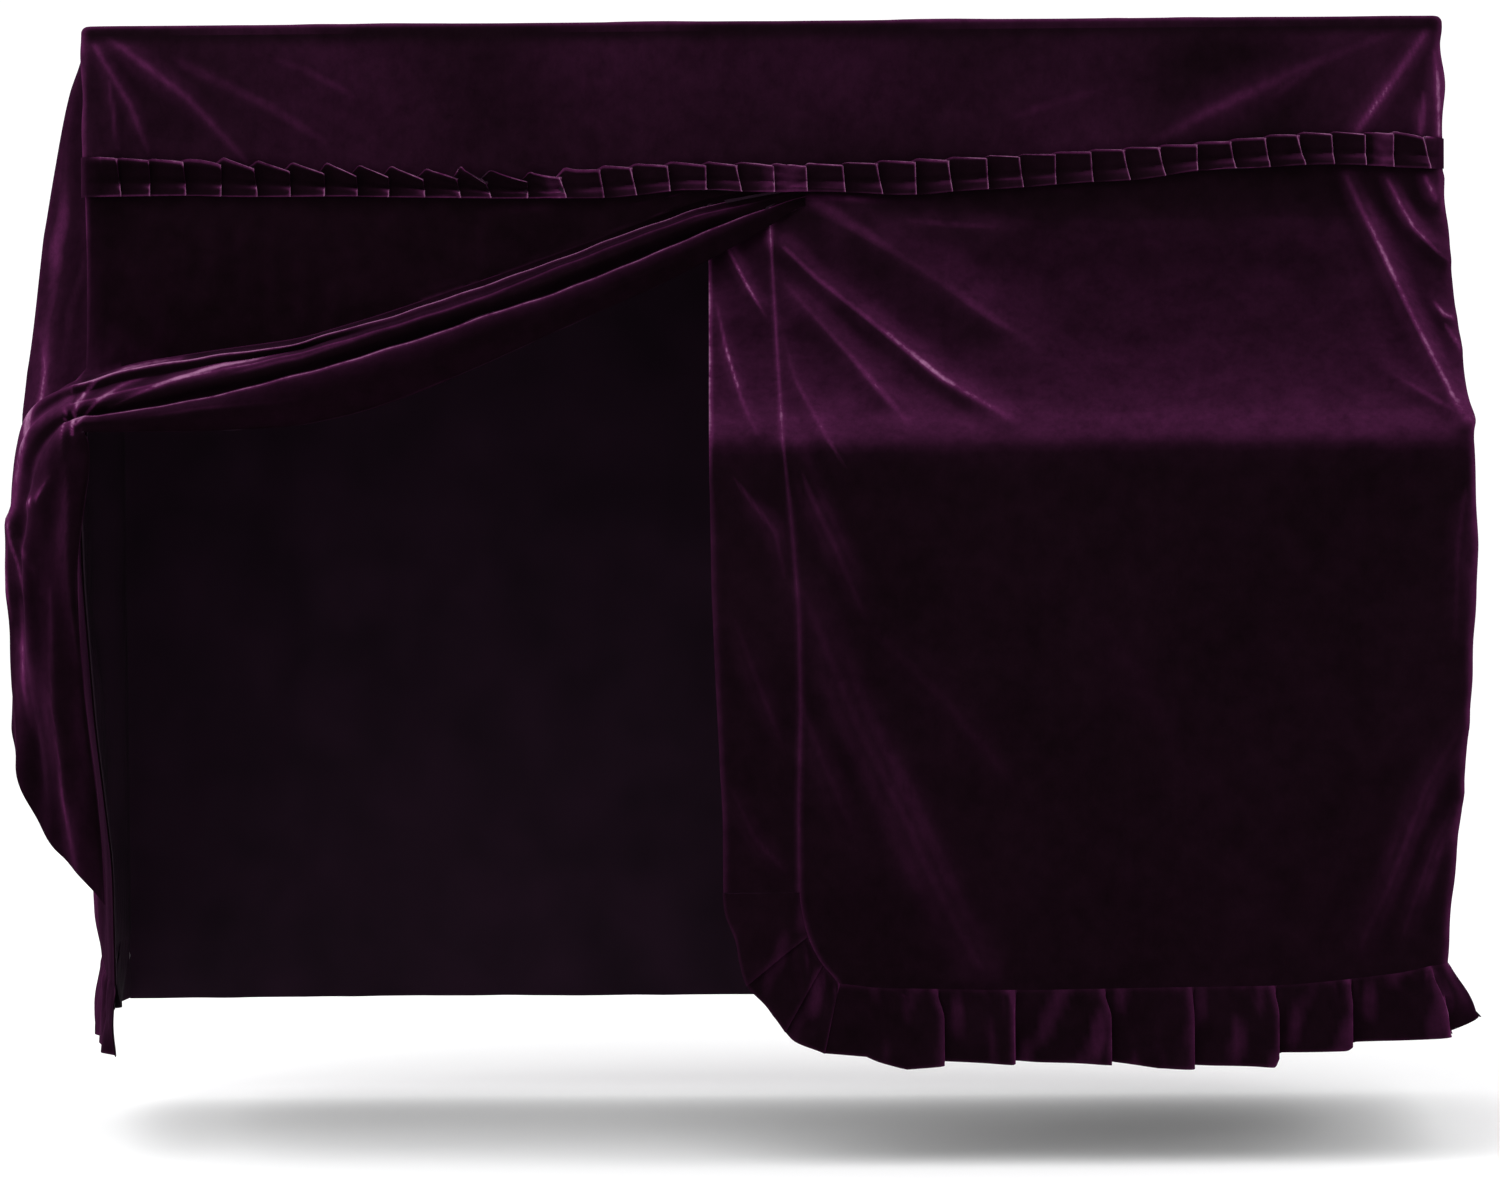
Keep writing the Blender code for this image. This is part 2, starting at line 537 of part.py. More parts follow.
def side_ruffle(name, side, front_of, half_of, gap, folds, swell_of):
    """Pleated strip below a side panel."""
    front = front_of(SIDE_HEM)
    half = curve(half_of, SIDE_HEM)
    length = side_y(1, front, gap) - side_y(0, front, gap)
    count = round(length / HEM_PITCH)
    rows = []
    shares, _, reliefs = np.array(pleats(count, HEM_PLEAT)).T
    y = side_y(shares, front, gap)
    at_corner = ease(HEM_LIFT_SHARE, 0, shares) if side > 0 else 0.0
    for depth in (0, 0.35, 0.7, 1):
        z = SIDE_HEM - SEAM - (RUFFLE_DROP - HEM_LIFT * at_corner) * depth
        fade = np.minimum(ease(LAP_SHARE, 0.15, shares), ease(1, 0.85, shares))
        base = (folds_at(folds, y, SIDE_HEM) + swell_of(y, SIDE_HEM)) * fade
        base = base - tuck_under(gap) * ease(0.1, LAP_SHARE, shares)
        rise = base + (reliefs * ease(1, 0.96, shares) * HEM_RELIEF + HEM_FLARE * at_corner) * depth ** 0.7
        x = side * (half + (HALF_WIDTH - half) * shares + rise)
        rows.append(np.stack(np.broadcast_arrays(x, y, z), axis=-1))
    grid = np.array(rows)
    return sheet(name, [grid if side > 0 else grid[:, ::-1]])


def back_panel():
    """Plain back: its outer face looks along +Y."""
    x = np.linspace(HALF_WIDTH, -HALF_WIDTH, 9)
    rows = []
    for z in (PANEL_TOP, -0.10, -0.35, -0.60, -0.85, SIDE_HEM - RUFFLE_DROP):
        wave = 0.006 * np.sin(np.pi * (x / HALF_WIDTH + 1)) * ease(-0.01, -0.8, z)
        fade = ease(1, 0.8, np.abs(x) / HALF_WIDTH)
        rows.append(np.stack(np.broadcast_arrays(x, BACK + wave * fade, z), axis=-1))
    return sheet("back_panel", [np.array(rows)])


def clear_scene():
    for thing in list(bpy.data.objects):
        bpy.data.objects.remove(thing, do_unlink=True)


def main():
    clear_scene()
    top_panel()
    front_valance()
    header_ruffle()
    left_leaf()
    right_leaf()
    right_border()
    right_ruffle()
    right = (1, front_y, RIGHT_HALF, 2 * SEAM, RIGHT_SIDE_FOLDS, no_swell)
    left = (-1, left_flat_y, LEFT_HALF, -LAP, LEFT_SIDE_FOLDS, left_swell)
    side_panel("side_right", *right, columns=10)
    side_panel("side_left", *left, columns=11)
    side_ruffle("ruffle_right", *right)
    side_ruffle("ruffle_left", *left)
    back_panel()
    for cloth in bpy.data.objects:
        cloth.data.transform(Matrix.Translation((0, 0, -DATUM)))


main()
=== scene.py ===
"""How the velvet piano cover looks: fine folds, pleats, seams, pile, studio and camera.

Each cloth is one closed thin sheet that stands for the node of the same name in the frame. The tables
repeat the part's own, with the finer folds added. Metres, +Z up, the front faces -Y. Heights in the
tables and functions are taken from DATUM below the lid, and the finished pieces are lowered by it.
"""
from collections import namedtuple
from math import cos, pi, radians, sin

import bpy
import numpy as np
from mathutils import Matrix, Vector


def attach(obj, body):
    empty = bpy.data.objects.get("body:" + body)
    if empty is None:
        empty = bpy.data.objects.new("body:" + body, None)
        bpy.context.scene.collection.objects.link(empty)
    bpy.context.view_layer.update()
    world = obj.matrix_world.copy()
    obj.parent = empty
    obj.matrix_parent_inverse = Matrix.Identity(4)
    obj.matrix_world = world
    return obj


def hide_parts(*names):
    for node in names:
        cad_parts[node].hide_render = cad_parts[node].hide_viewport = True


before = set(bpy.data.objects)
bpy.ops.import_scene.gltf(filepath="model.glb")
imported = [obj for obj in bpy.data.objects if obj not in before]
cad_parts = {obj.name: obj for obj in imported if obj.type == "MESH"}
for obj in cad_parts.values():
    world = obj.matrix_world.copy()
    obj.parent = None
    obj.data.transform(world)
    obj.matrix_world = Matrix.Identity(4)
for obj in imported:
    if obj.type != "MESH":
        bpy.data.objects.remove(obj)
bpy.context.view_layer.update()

# Driving dimensions, as in the part, and some of its finer points
THICK = 0.002
DATUM = 0.009
HALF_WIDTH = 0.752
LID_FRONT = -0.187
BACK = 0.187
SHELF_FRONT = -0.437
CORNER = 0.015
LIP = 0.008
EDGE_DROP = 0.003    # how far the lip hangs straight down below its turn
SIDE_HEM = -1.03
RUFFLE_DROP = 0.078
HEADING_RELIEF = 0.0095
HEM_PITCH = 0.088
HEM_RELIEF = 0.016
HEM_FLARE = 0.038    # how far the hem stands out at the right front corner
HEM_LIFT = 0.038     # and how far it is lifted there
GATHER_X = 0.048
ARM_X = -0.726
BORDER_FOOT = -0.93
LEAF_END = -1.0275   # where the right leaf ends at its border
FLOOR = -1.226
QUARTER = pi / 2
SEAM_GAP = 0.0005    # on either side of a seam
CORNER_PAST = 0.003  # how far the front's pieces run on past their corners
BORDER_GAP = 0.0001  # on either side of the border's seam
BLUR = 0.02          # over which most profiles are rounded
PLEAT_STEPS = 4      # columns to a span of the hem's pleats
LET_OUT = 0.4        # the share of a hem ruffle's drop over which its pleats form
FINE_THICK = 0.001   # of the hem ruffles' cloth


def metres(*items):
    """Millimetres, or tuples of them, in metres."""
    return tuple(metres(*item) if isinstance(item, tuple) else item / 1000 for item in items)


def joined(*parts, axis=0):
    """Arrays end to end."""
    return np.concatenate(parts, axis)


# Profiles, each a table of (z, value)
FRONT_Y = metres((-200, -187), (-222, -199), (-270, -235), (-350, -305), (-430, -395),
    (-453, -424), (-475, -437))
LEFT_FLAT_Y = metres((-200, -187), (-250, -196), (-300, -212), (-340, -232), (-390, -265),
    (-440, -325), (-480, -375), (-520, -400), (-1200, -405))
RIGHT_HALF = metres((-190, 752), (-220, 755), (-430, 759), (-580, 763), (-650, 756), (-720, 756),
    (-780, 750), (-860, 743), (-930, 732), (-1000, 727), (-1200, 722))
LEFT_HALF = metres((0, 752), (-200, 749), (-400, 742), (-600, 736), (-750, 725), (-900, 708),
    (-1200, 704))

# Lines across the front, each a table of (x, z)
HEADING_TOP = metres((-750, -134), (-620, -140), (-460, -149), (-270, -160), (-180, -151), (-100, -145),
    (45, -149), (200, -144), (360, -135), (480, -129), (590, -119), (700, -117), (750, -126))
HEADING_FOOT = metres((-750, -178), (-610, -176), (-400, -181), (-180, -183), (-70, -175), (45, -177),
    (170, -182), (290, -174), (400, -168), (480, -159), (590, -151), (750, -157))
HEADING_SLANT = metres((-750, 0), (-640, 3), (-590, 11), (-300, 14), (-220, 12), (-190, 4), (750, 3))
LEAF_FOOT = metres((80, -1027.5), (120, -1033), (270, -1036), (550, -1033), (620, -1027), (680, -1020),
    (720, -1010))
LEAF_HEM = metres((60, -1104), (95, -1103), (150, -1119), (190, -1112), (360, -1113), (420, -1119),
    (540, -1117), (546.5, -1106), (620, -1100), (626.5, -1095), (712, -1087), (745, -1067), (800, -1065))

# The free edge of the right leaf, and the seam of its border, each a table of (z, x)
BORDER_EDGE = metres((-100, -62), (-250, -59), (-610, -55), (-720, -51), (-850, -45), (-1200, -46))
BORDER_SEAM = metres((-100, 4), (-220, 9), (-370, 17), (-450, 22), (-530, 30), (-630, 38), (-730, 39),
    (-840, 36), (-930, 36), (-958, 40), (-981, 46), (-1000, 55), (-1015, 66), (-1027.5, 80))
# The outer edge of the ruffle round the leaf's lower corner, a table of (x, z)
CORNER_HEM = metres((-46, -931), (-38, -965), (-31, -1000), (-17, -1030), (4, -1062), (30, -1086),
    (60, -1104))
CORNER_FOLDS = (0, 0.47, 0.78, 1)

# Where each pleat of the heading and of the front hem ends in its fold, by x
HEADING_FOLDS = metres(-733, -709, -675, -636, -596, -558, -520, -482, -446, -411, -372, -334, -301, -258,
    -219, -176, -141, -102, -61, -25, 14, 50, 91, 130, 170, 208, 249, 286, 324, 364, 402, 441, 480, 519,
    557, 594, 629, 665, 696, 733)
HEM_FOLDS = metres(98, 186, 268, 364, 458, 545.5, 625, 715)

# One knife pleat, a table of (share of the pitch, lift, how much of it shows, height of its tooth)
KNIFE_PLEAT = ((-0.2, 0, 0, -0.3), (-0.08, 0.1, 0, 0.1), (0.05, 0.22, 0, 0.5), (0.3, 0.45, 1, 0.25),
    (0.6, 0.72, 1, -0.08), (0.86, 0.96, 1, -0.38), (0.97, 1, 1, -0.5), (1, 0.86, 1, -0.5),
    (0.96, 0.7, 0, -0.48), (0.86, 0.62, 0, -0.42))
FIRST_SHARE = 0.06   # where the first pleat of a row begins

# Folds in the cloth. A fold runs through its points (x, z) and stands `rise` proud of the cloth, with
# `width` on either side of its crest. `start` and `end` are how full it is at its two ends, and `shine`
# is how strong the painted highlight along its crest is.
Fold = namedtuple("Fold", "rise width start end shine points")


def folds(*rows):
    """Folds from rows of their fields: millimetres, percent for the three shares, and then the points."""
    return [Fold(*metres(*row[:2]), *(share / 100 for share in row[2:5]), metres(*row[5:])) for row in rows]


VALANCE_FOLDS = folds(
    (6, 17, 100, 20, 50, (-735, 10), (-634, -68), (-563, -146)),
    (5, 13, 100, 20, 45, (-735, -10), (-696, -78), (-675, -135)),
    (3, 26, 50, 10, 28, (-640, -30), (-541, -80), (-467, -128)),
    (3, 9, 60, 40, 40, (-722, -30), (-716, -80), (-712, -125)),
    (2, 24, 30, 10, 20, (-590, -10), (-500, -40), (-420, -85)),
    (5, 14.5, 100, 80, 85, (734, -4), (695, -62), (654, -118)),
    (2, 12, 50, 80, 100, (742, -30), (744, -75), (747, -120)),
    (3, 12, 40, 80, 70, (731, -75), (726, -118)),
    (5, 26, 40, 40, 32, (700, -5), (576, -55), (490, -95), (422, -129)),
    (3, 26, 20, 20, 25, (395, -61), (263, -101)),
    (2, 20, 20, 20, 25, (640, -20), (560, -80)),
)
LEAF_FOLDS = folds(
    # from the right end of the heading down to the shelf's corner
    (17, 13, 30, 50, 100, (644, -165), (671, -226), (702, -311), (750, -432)),
    (10, 10, 50, 50, 95, (690, -170), (716, -222), (748, -258)),
    (4, 10, 80, 60, 90, (732, -168), (742, -192)),
    (4, 10, 50, 80, 110, (733, -306), (741, -318), (749, -322)),
    (3, 10, 60, 60, 100, (742, -330), (748, -342), (756, -356)),
    (4, 12, 20, 60, 35, (664, -372), (706, -400), (750, -428)),
    (4, 26, 40, 30, 8, (620, -175), (640, -260), (668, -350), (700, -420)),
    # fanning from the gather
    (13, 32, 50, 10, 45, (60, -190), (108, -221), (197, -280), (313, -362)),
    (14, 13, 50, 50, 90, (25, -240), (59, -273), (96, -303), (133, -333), (195, -384), (263, -425)),
    (11, 15, 40, 40, 60, (26, -280), (58, -317), (93, -356), (127, -396), (156, -430)),
    (7, 10, 30, 30, 50, (21, -330), (36, -385), (66, -440), (90, -480)),
    (4, 20, 30, 20, 20, (110, -205), (200, -215), (300, -222)),
    # on the border
    (7, 8, 50, 30, 80, (-46, -225), (-31, -253), (-16, -282), (3, -314)),
    (6, 8, 30, 40, 80, (-50, -300), (-39, -351), (-21, -408), (-6, -440)),
    (7, 10, 30, 40, 25, (-39, -475), (-13, -511), (13, -544), (22, -590)),
    (4, 6, 60, 20, 70, (9, -208), (9, -245)),
    (5, 12, 30, 30, 10, (-30, -640), (-8, -700), (18, -770)),
    (5, 10, 30, 30, 10, (-34, -820), (-12, -870), (20, -905)),
    # below the shelf, from the border down to the hem
    (10, 14, 30, 10, 17, (22, -419), (49, -502), (77, -562), (109, -640)),
    (18, 22, 50, 60, 12, (43, -610), (97, -745), (141, -833), (184, -927), (227, -1010)),
    (9, 16, 30, 10, 9, (36, -720), (58, -778), (96, -870)),
    (7, 24, 20, 10, 5, (109, -641), (185, -718), (270, -820)),
    (4, 40, 10, 10, 2, (300, -560), (400, -700), (470, -860)),
    # below the shelf's right corner
    (11, 14, 50, 50, 15, (742, -755), (701, -826), (662, -930), (634, -990)),
    (9, 11, 40, 40, 12, (740, -830), (712, -882), (680, -975)),
    (6, 12, 30, 30, 12, (752, -470), (738, -560), (735, -660)),
    # the shelf's edge under the cloth
    (1, 10, 100, 100, 0, (20, -452), (750, -452)),
)
# On the side panels the first number of a point is y, not x
RIGHT_SIDE_FOLDS = folds(
    (8, 30, 20, 40, 50, (-120, -60), (-200, -260), (-340, -450)),
    (10, 45, 10, 60, 40, (-20, -100), (-100, -500), (-220, -980)),
    (8, 40, 10, 60, 40, (80, -200), (50, -600), (20, -980)),
    (8, 35, 20, 60, 40, (-340, -500), (-330, -750), (-300, -980)),
    (4, 14, 20, 40, 60, (-150, -150), (-260, -380)),
    (4, 20, 10, 50, 30, (130, -50), (120, -450), (100, -900)),
    (4, 14, 20, 60, 50, (-400, -560), (-400, -750), (-380, -980)),
)
LEFT_SIDE_FOLDS = folds(
    (16, 26, 20, 40, 10, (-140, -20), (-120, -180), (-130, -360), (-160, -520)),
    (14, 40, 10, 60, 50, (30, -40), (20, -400), (-60, -980)),
    (8, 30, 10, 50, 40, (120, -100), (100, -600), (80, -980)),
    (9, 30, 30, 60, 50, (-260, -600), (-220, -800), (-200, -980)),
    (2, 26, 10, 100, 60, (-134, -70), (-136, -157), (-139, -234), (-158, -318), (-172, -370), (-178, -430)),
    (2, 10, 30, 40, 30, (-155, -200), (-166, -300), (-190, -370)),
)
# How far the left side swells out, a table of (z, swell), and where along the side, of (y, share)
LEFT_SWELL = metres((-5, 0), (-50, 15), (-100, 24), (-170, 33), (-230, 39), (-290, 50), (-370, 64),
    (-410, 72), (-440, 78), (-500, 68), (-550, 50), (-750, 30), (-900, 24), (-1200, 18))
LEFT_SWELL_SHARE = ((-0.4, 0), (-0.32, 0.08), (-0.24, 0.35), (-0.15, 0.93), (-0.08, 1), (0.05, 0.7),
    (0.18, 0))
# Painted shade and painted light on the right leaf by height, a table of (z, light)
LEAF_SHADE = ((0, 0), (-0.2, -0.05), (-0.25, -0.42), (-0.37, -0.4), (-0.405, -0.18), (-0.426, 0.09),
    (-0.444, -0.06), (-0.46, -0.3), (-0.48, -0.15), (-0.52, 0))

# The swag of the left leaf. Each row runs from the gather to the left arm, then down outside the side as
# a tail. Its height is that of `line` in hundredths, where 140 is 40% of the way from line 1 to line 2,
# plus `up`. `slope` is how far it lies out along the slope to the shelf, `out` and `out_left` how far it
# stands out from there in the middle and at the left, and `shine` how strong a painted highlight lies on
# it.
SwagRow = namedtuple("SwagRow", "line slope shine up out out_left arm_z tail_x tail_y foot_x hem")
SWAG_ROWS = [SwagRow(*row[:3], *metres(*row[3:])) for row in (
    (0, 0.15, 0, 9, -2, -4, -352, -792, -290, -792, -742),
    (0, 0.5, 0, 1.5, -4, -6, -360, -799, -294, -800, -744),
    (0, 1, 1.2, 1, 6, 8, -378, -810, -302, -813, -748),
    (55, 1, 0, 0, 16, 0, -392, -805, -320, -808, -774),
    (100, 1, 0.55, 0, 22, 16, -400, -808, -336, -804, -800),
    (140, 1, 0, 0, 20, 18, -407, -801, -345, -796, -824),
    (186, 1, 0, 0, 4, 4, -413, -789, -357, -780, -852),
    (200, 1, 0.95, 1, 12, 10, -419, -784, -374, -762, -880),
    (228, 1, 0, 0, 20, 16, -424, -774, -386, -744, -896),
    (262, 1, 0, 0, 14, 12, -430, -752, -402, -724, -914),
    (293, 1, 0, 0, 8, 8, -433, -730, -416, -706, -934),
    (300, 1, 0.15, 0, 6, 4, -434, -724, -418, -700, -940),
)]
ARM_DROP = 0.075     # over which a row turns from across to down
TAIL_SPREAD = 0.008  # how much further out the tail hangs below the arm than at it
SHOULDER_IN = 0.012  # how far a row's turn over the arm stays in from the tail
ARM_IN = -0.64       # where the cloth begins to lean back towards the left side
SWAG_STEPS = 7       # fine rows to a row
SWAG_DARK = -0.9     # painted shade between the swag's crests
TAIL_DARK = -0.74    # and on the tail
FOLD_LIGHT = 1.2     # how bright the painted highlights on the swag's finer folds are
# The swag's lines from the top, each a table of (x, z)
SWAG_LINES = metres(
    ((-735, -385), (-690, -369), (-610, -357), (-510, -344), (-420, -318), (-290, -275),
     (-180, -236), (-70, -195), (48, -172)),
    ((-735, -404), (-660, -388), (-550, -366), (-450, -340), (-340, -306), (-230, -263),
     (-120, -221), (-70, -203), (48, -176)),
    ((-735, -420), (-660, -411), (-550, -389), (-450, -362), (-340, -328), (-230, -291),
     (-120, -247), (-70, -225), (-15, -204), (48, -181)),
    ((-735, -434), (-600, -434), (-500, -430), (-430, -415), (-370, -394), (-290, -360),
     (-180, -310), (-120, -284), (-60, -254), (10, -215), (48, -189)),
)
# Finer folds on the swag
SWAG_FOLDS = folds(
    (4, 10, 10, 50, 100, (-505, -349), (-550, -360), (-603, -373), (-657, -391), (-700, -407)),
    (3, 8, 40, 30, 35, (-284, -286), (-392, -323.5), (-500, -359), (-608, -385), (-661, -399)),
    (2, 7, 30, 30, 30, (-40, -198), (-120, -229), (-230, -272), (-300, -298)),
    # the tight curl over the arm
    (0.8, 12, 50, 80, 90, (-640, -357), (-668, -360), (-696, -366), (-719, -379), (-731, -396),
     (-737, -413), (-738, -436)),
    (1, 11, 30, 70, 70, (-640, -367), (-662, -374), (-688, -387), (-713, -402), (-724, -413),
     (-733, -426)),
    # along its lower part
    (3, 8, 20, 40, 20, (-500, -402), (-600, -413), (-700, -425)),
    (2, 7, 20, 20, 10, (-60, -238), (-180, -290), (-300, -345)),
)
# and on the tail
TAIL_FOLDS = folds(
    (2, 20, 80, 80, 90, (-788, -335), (-790, -368), (-792, -400), (-796, -448), (-807, -488),
     (-813, -530)),
    (2, 8, 60, 40, 60, (-742, -372), (-748, -421), (-751, -460)),
    (3, 8, 30, 40, 80, (-765, -481), (-778, -505), (-793, -513), (-801, -508)),
    (4, 9, 80, 20, 90, (-813, -530), (-808, -557), (-801, -582), (-794, -617)),
    (3, 8, 60, 10, 60, (-813, -529), (-799, -557), (-779, -586)),
    (3, 8, 60, 20, 60, (-811, -540), (-816, -580), (-813, -640)),
    (5, 16, 30, 20, 60, (-802, -615), (-799, -680), (-791, -750)),
    (5, 13, 30, 30, 60, (-764, -600), (-760, -721), (-752, -828), (-738, -915)),
    (4, 9, 30, 20, 40, (-745, -470), (-742, -560), (-735, -680)),
)


def curve(table, at, blur=BLUR):
    """Read a table of (place, value) at the given places, rounded over `blur` on either side."""
    places, values = np.array(table, float).T
    order = np.argsort(places)
    offsets = np.linspace(-blur, blur, 9) if blur else (0,)
    return sum(np.interp(np.asarray(at, float) + shift, places[order], values[order])
        for shift in offsets) / len(offsets)


def ease(low, high, at):
    """0 up to `low`, 1 from `high`, and smooth between them."""
    share = np.clip((at - low) / (high - low), 0, 1)
    return share * share * (3 - 2 * share)


def bell(gap, width):
    """1 at no gap, and falling away over `width` on either side."""
    return np.exp(-(gap / width) ** 2)


def spline(points, steps):
    """A smooth curve through the points along the first axis, in `steps` steps to a span."""
    points = np.asarray(points, float)
    padded = joined(2 * points[:1] - points[1:2], points, 2 * points[-1:] - points[-2:-1])
    t = (np.arange(steps) / steps).reshape((-1,) + (1,) * (points.ndim - 1))
    spans = []
    for k in range(len(points) - 1):
        a, b, c, d = padded[k:k + 4]
        spans.append(b + 0.5 * ((c - a) * t + (2 * a - 5 * b + 4 * c - d) * t ** 2
            + (3 * b - a - 3 * c + d) * t ** 3))
    return joined(*spans, points[-1:])


def drift(u, v, size, seed):
    """Smooth unevenness between about -1 and 1 with bumps `size` metres long."""
    rng = np.random.RandomState(seed)
    total = 0
    for _ in range(7):
        heading, phase = rng.uniform(0, 2 * pi, 2)
        length = size * rng.uniform(0.6, 1.7)
        across = u * cos(heading) + v * sin(heading)
        total = total + np.sin(2 * pi * across / length + phase)
    return total / 3


def folds_at(table, across, z):
    """How far folds lift the cloth, and how bright the painted highlights along them are."""
    shape = np.broadcast(across, z).shape
    total, shine = np.zeros(shape), np.zeros(shape)
    for number, fold in enumerate(table):
        points = np.array(fold.points)
        steps = np.diff(points, axis=0)
        lengths = np.hypot(*steps.T)
        starts = joined([0], np.cumsum(lengths))
        nearest = np.full(shape, np.inf)
        along = np.zeros(shape)
        for (px, pz), (dx, dz), length, start in zip(points, steps, lengths, starts):
            share = np.clip(((across - px) * dx + (z - pz) * dz) / length ** 2, 0, 1)
            gap = np.hypot(across - px - share * dx, z - pz - share * dz)
            closer = gap < nearest
            nearest = np.where(closer, gap, nearest)
            along = np.where(closer, (start + share * length) / starts[-1], along)
        fullness = np.interp(along, (0, 0.4, 0.7, 1), (fold.start, 1, 1, fold.end))
        uneven = 1 + 0.25 * np.sin(along * starts[-1] / 0.035 + number)
        total += fold.rise * fullness * bell(nearest, fold.width)
        line = 0.7 * bell(nearest, 0.22 * fold.width) + 0.3 * bell(nearest, fold.width)
        shine = np.maximum(shine, fold.shine * fullness * uneven * line)
    return total, shine


def front_y(z):
    return curve(FRONT_Y, z, 0.012)


def left_flat_y(z):
    return curve(LEFT_FLAT_Y, z, 0.012)


def heading_seam(x):
    return 0.5 * curve(HEADING_TOP, x) + 0.5 * curve(HEADING_FOOT, x)


def border_seam(z):
    return curve(BORDER_SEAM, z, 0.01)


def points_of(x, y, z):
    """Points from their coordinates, each an array or one number."""
    return np.stack(np.broadcast_arrays(x, y, z), axis=-1)


def place(along, z, front, half, rise):
    """Points on the cover's outer face, `along` its girth from the middle of its front."""
    side = np.sign(along)
    reach = np.abs(along)
    flat = half - CORNER
    turn = np.clip((reach - flat) / CORNER, 0, QUARTER)
    past = np.maximum(reach - flat - CORNER * QUARTER, 0)
    x = side * (np.minimum(reach, flat) + CORNER * np.sin(turn))
    y = front + CORNER * (1 - np.cos(turn)) + past
    return points_of(x + side * np.sin(turn) * rise, y - np.cos(turn) * rise, z)


def corner_columns(half, count=7):
    """Girth positions round the right corner, outward from the flat of the front."""
    turns = joined(np.linspace(0, QUARTER, count)[1:], [QUARTER + CORNER_PAST / CORNER])
    return half - CORNER + CORNER * turns


def lifted(grid, amount):
    """A grid of points moved along its own outward direction."""
    down, right = np.gradient(grid, axis=0), np.gradient(grid, axis=1)
    out = np.cross(down, right)
    length = np.linalg.norm(out, axis=-1, keepdims=True)
    return grid + out / np.maximum(length, 1e-12) * np.asarray(amount)[..., None]


# Materials

class Surface:
    """A new material, with short ways to build its nodes."""

    def __init__(self, name):
        self.material = bpy.data.materials.new(name)
        self.material.use_nodes = True
        self.tree = self.material.node_tree
        self.shader = self.tree.nodes["Principled BSDF"]
        self.where = self.node("TexCoord").outputs["Object"]

    def node(self, kind, **settings):
        node = self.tree.nodes.new("ShaderNode" + kind)
        for name, value in settings.items():
            setattr(node, name, value)
        return node

    def fill(self, socket, value):
        """Set an input, or link it where the value comes from another node."""
        if isinstance(value, bpy.types.NodeSocket):
            self.tree.links.new(value, socket)
        else:
            socket.default_value = value

    def feed(self, node, **values):
        """Fill a node's inputs by name."""
        for name, value in values.items():
            self.fill(next(s for s in node.inputs if s.name == name.replace("_", " ") and s.enabled), value)

    def ramp(self, source, *stops):
        """A value turned into a colour, by stops of (value, colour or grey)."""
        node = self.node("ValToRGB")
        elements = node.color_ramp.elements
        while len(elements) < len(stops):
            elements.new(0.5)
        for element, (position, color) in zip(elements, stops):
            element.position = position
            element.color = (*(color if isinstance(color, tuple) else (color,) * 3), 1)
        self.feed(node, Fac=source)
        return node.outputs["Color"]

    def math(self, operation, *values):
        node = self.node("Math", operation=operation)
        for socket, value in zip(node.inputs, values):
            self.fill(socket, value)
        return node.outputs[0]

    def total(self, *terms):
        """The sum of products, each given as its two factors."""
        first, *others = [self.math("MULTIPLY", *term) for term in terms]
        for other in others:
            first = self.math("ADD", first, other)
        return first

    def mix(self, factor, first, second, blend="MIX"):
        node = self.node("Mix", data_type="RGBA", blend_type=blend)
        self.feed(node, Factor=factor, A=first, B=second)
        return next(s for s in node.outputs if s.enabled)

    def noise(self, scale, detail=2, rough=0.5, stretch=None):
        where = self.where
        if stretch:
            mapping = self.node("Mapping")
            self.feed(mapping, Scale=stretch, Vector=where)
            where = mapping.outputs[0]
        node = self.node("TexNoise")
        self.feed(node, Scale=scale, Detail=detail, Roughness=rough, Vector=where)
        return node.outputs["Fac"]

    def bump(self, height, strength, distance):
        node = self.node("Bump")
        self.feed(node, Strength=strength, Distance=distance, Height=height)
        self.feed(self.shader, Normal=node.outputs["Normal"])


# DARK and DEEP are the pile's own colours, BRIGHT and PALE those of its painted sheen and painted
# highlights
DARK = (0.0027, 0.0012, 0.0019)
DEEP = (0.0068, 0.0023, 0.0048)
BRIGHT = (0.15, 0.024, 0.11, 1)
PALE = (0.26, 0.12, 0.215, 1)
# Painted sheen: how far the colour lights up as the cloth turns away from the eye, a table of (turn, light)
GRAZING = ((0, 0), (0.1, 0.015), (0.2, 0.062), (0.38, 0.21), (0.6, 0.34), (1, 0.44))


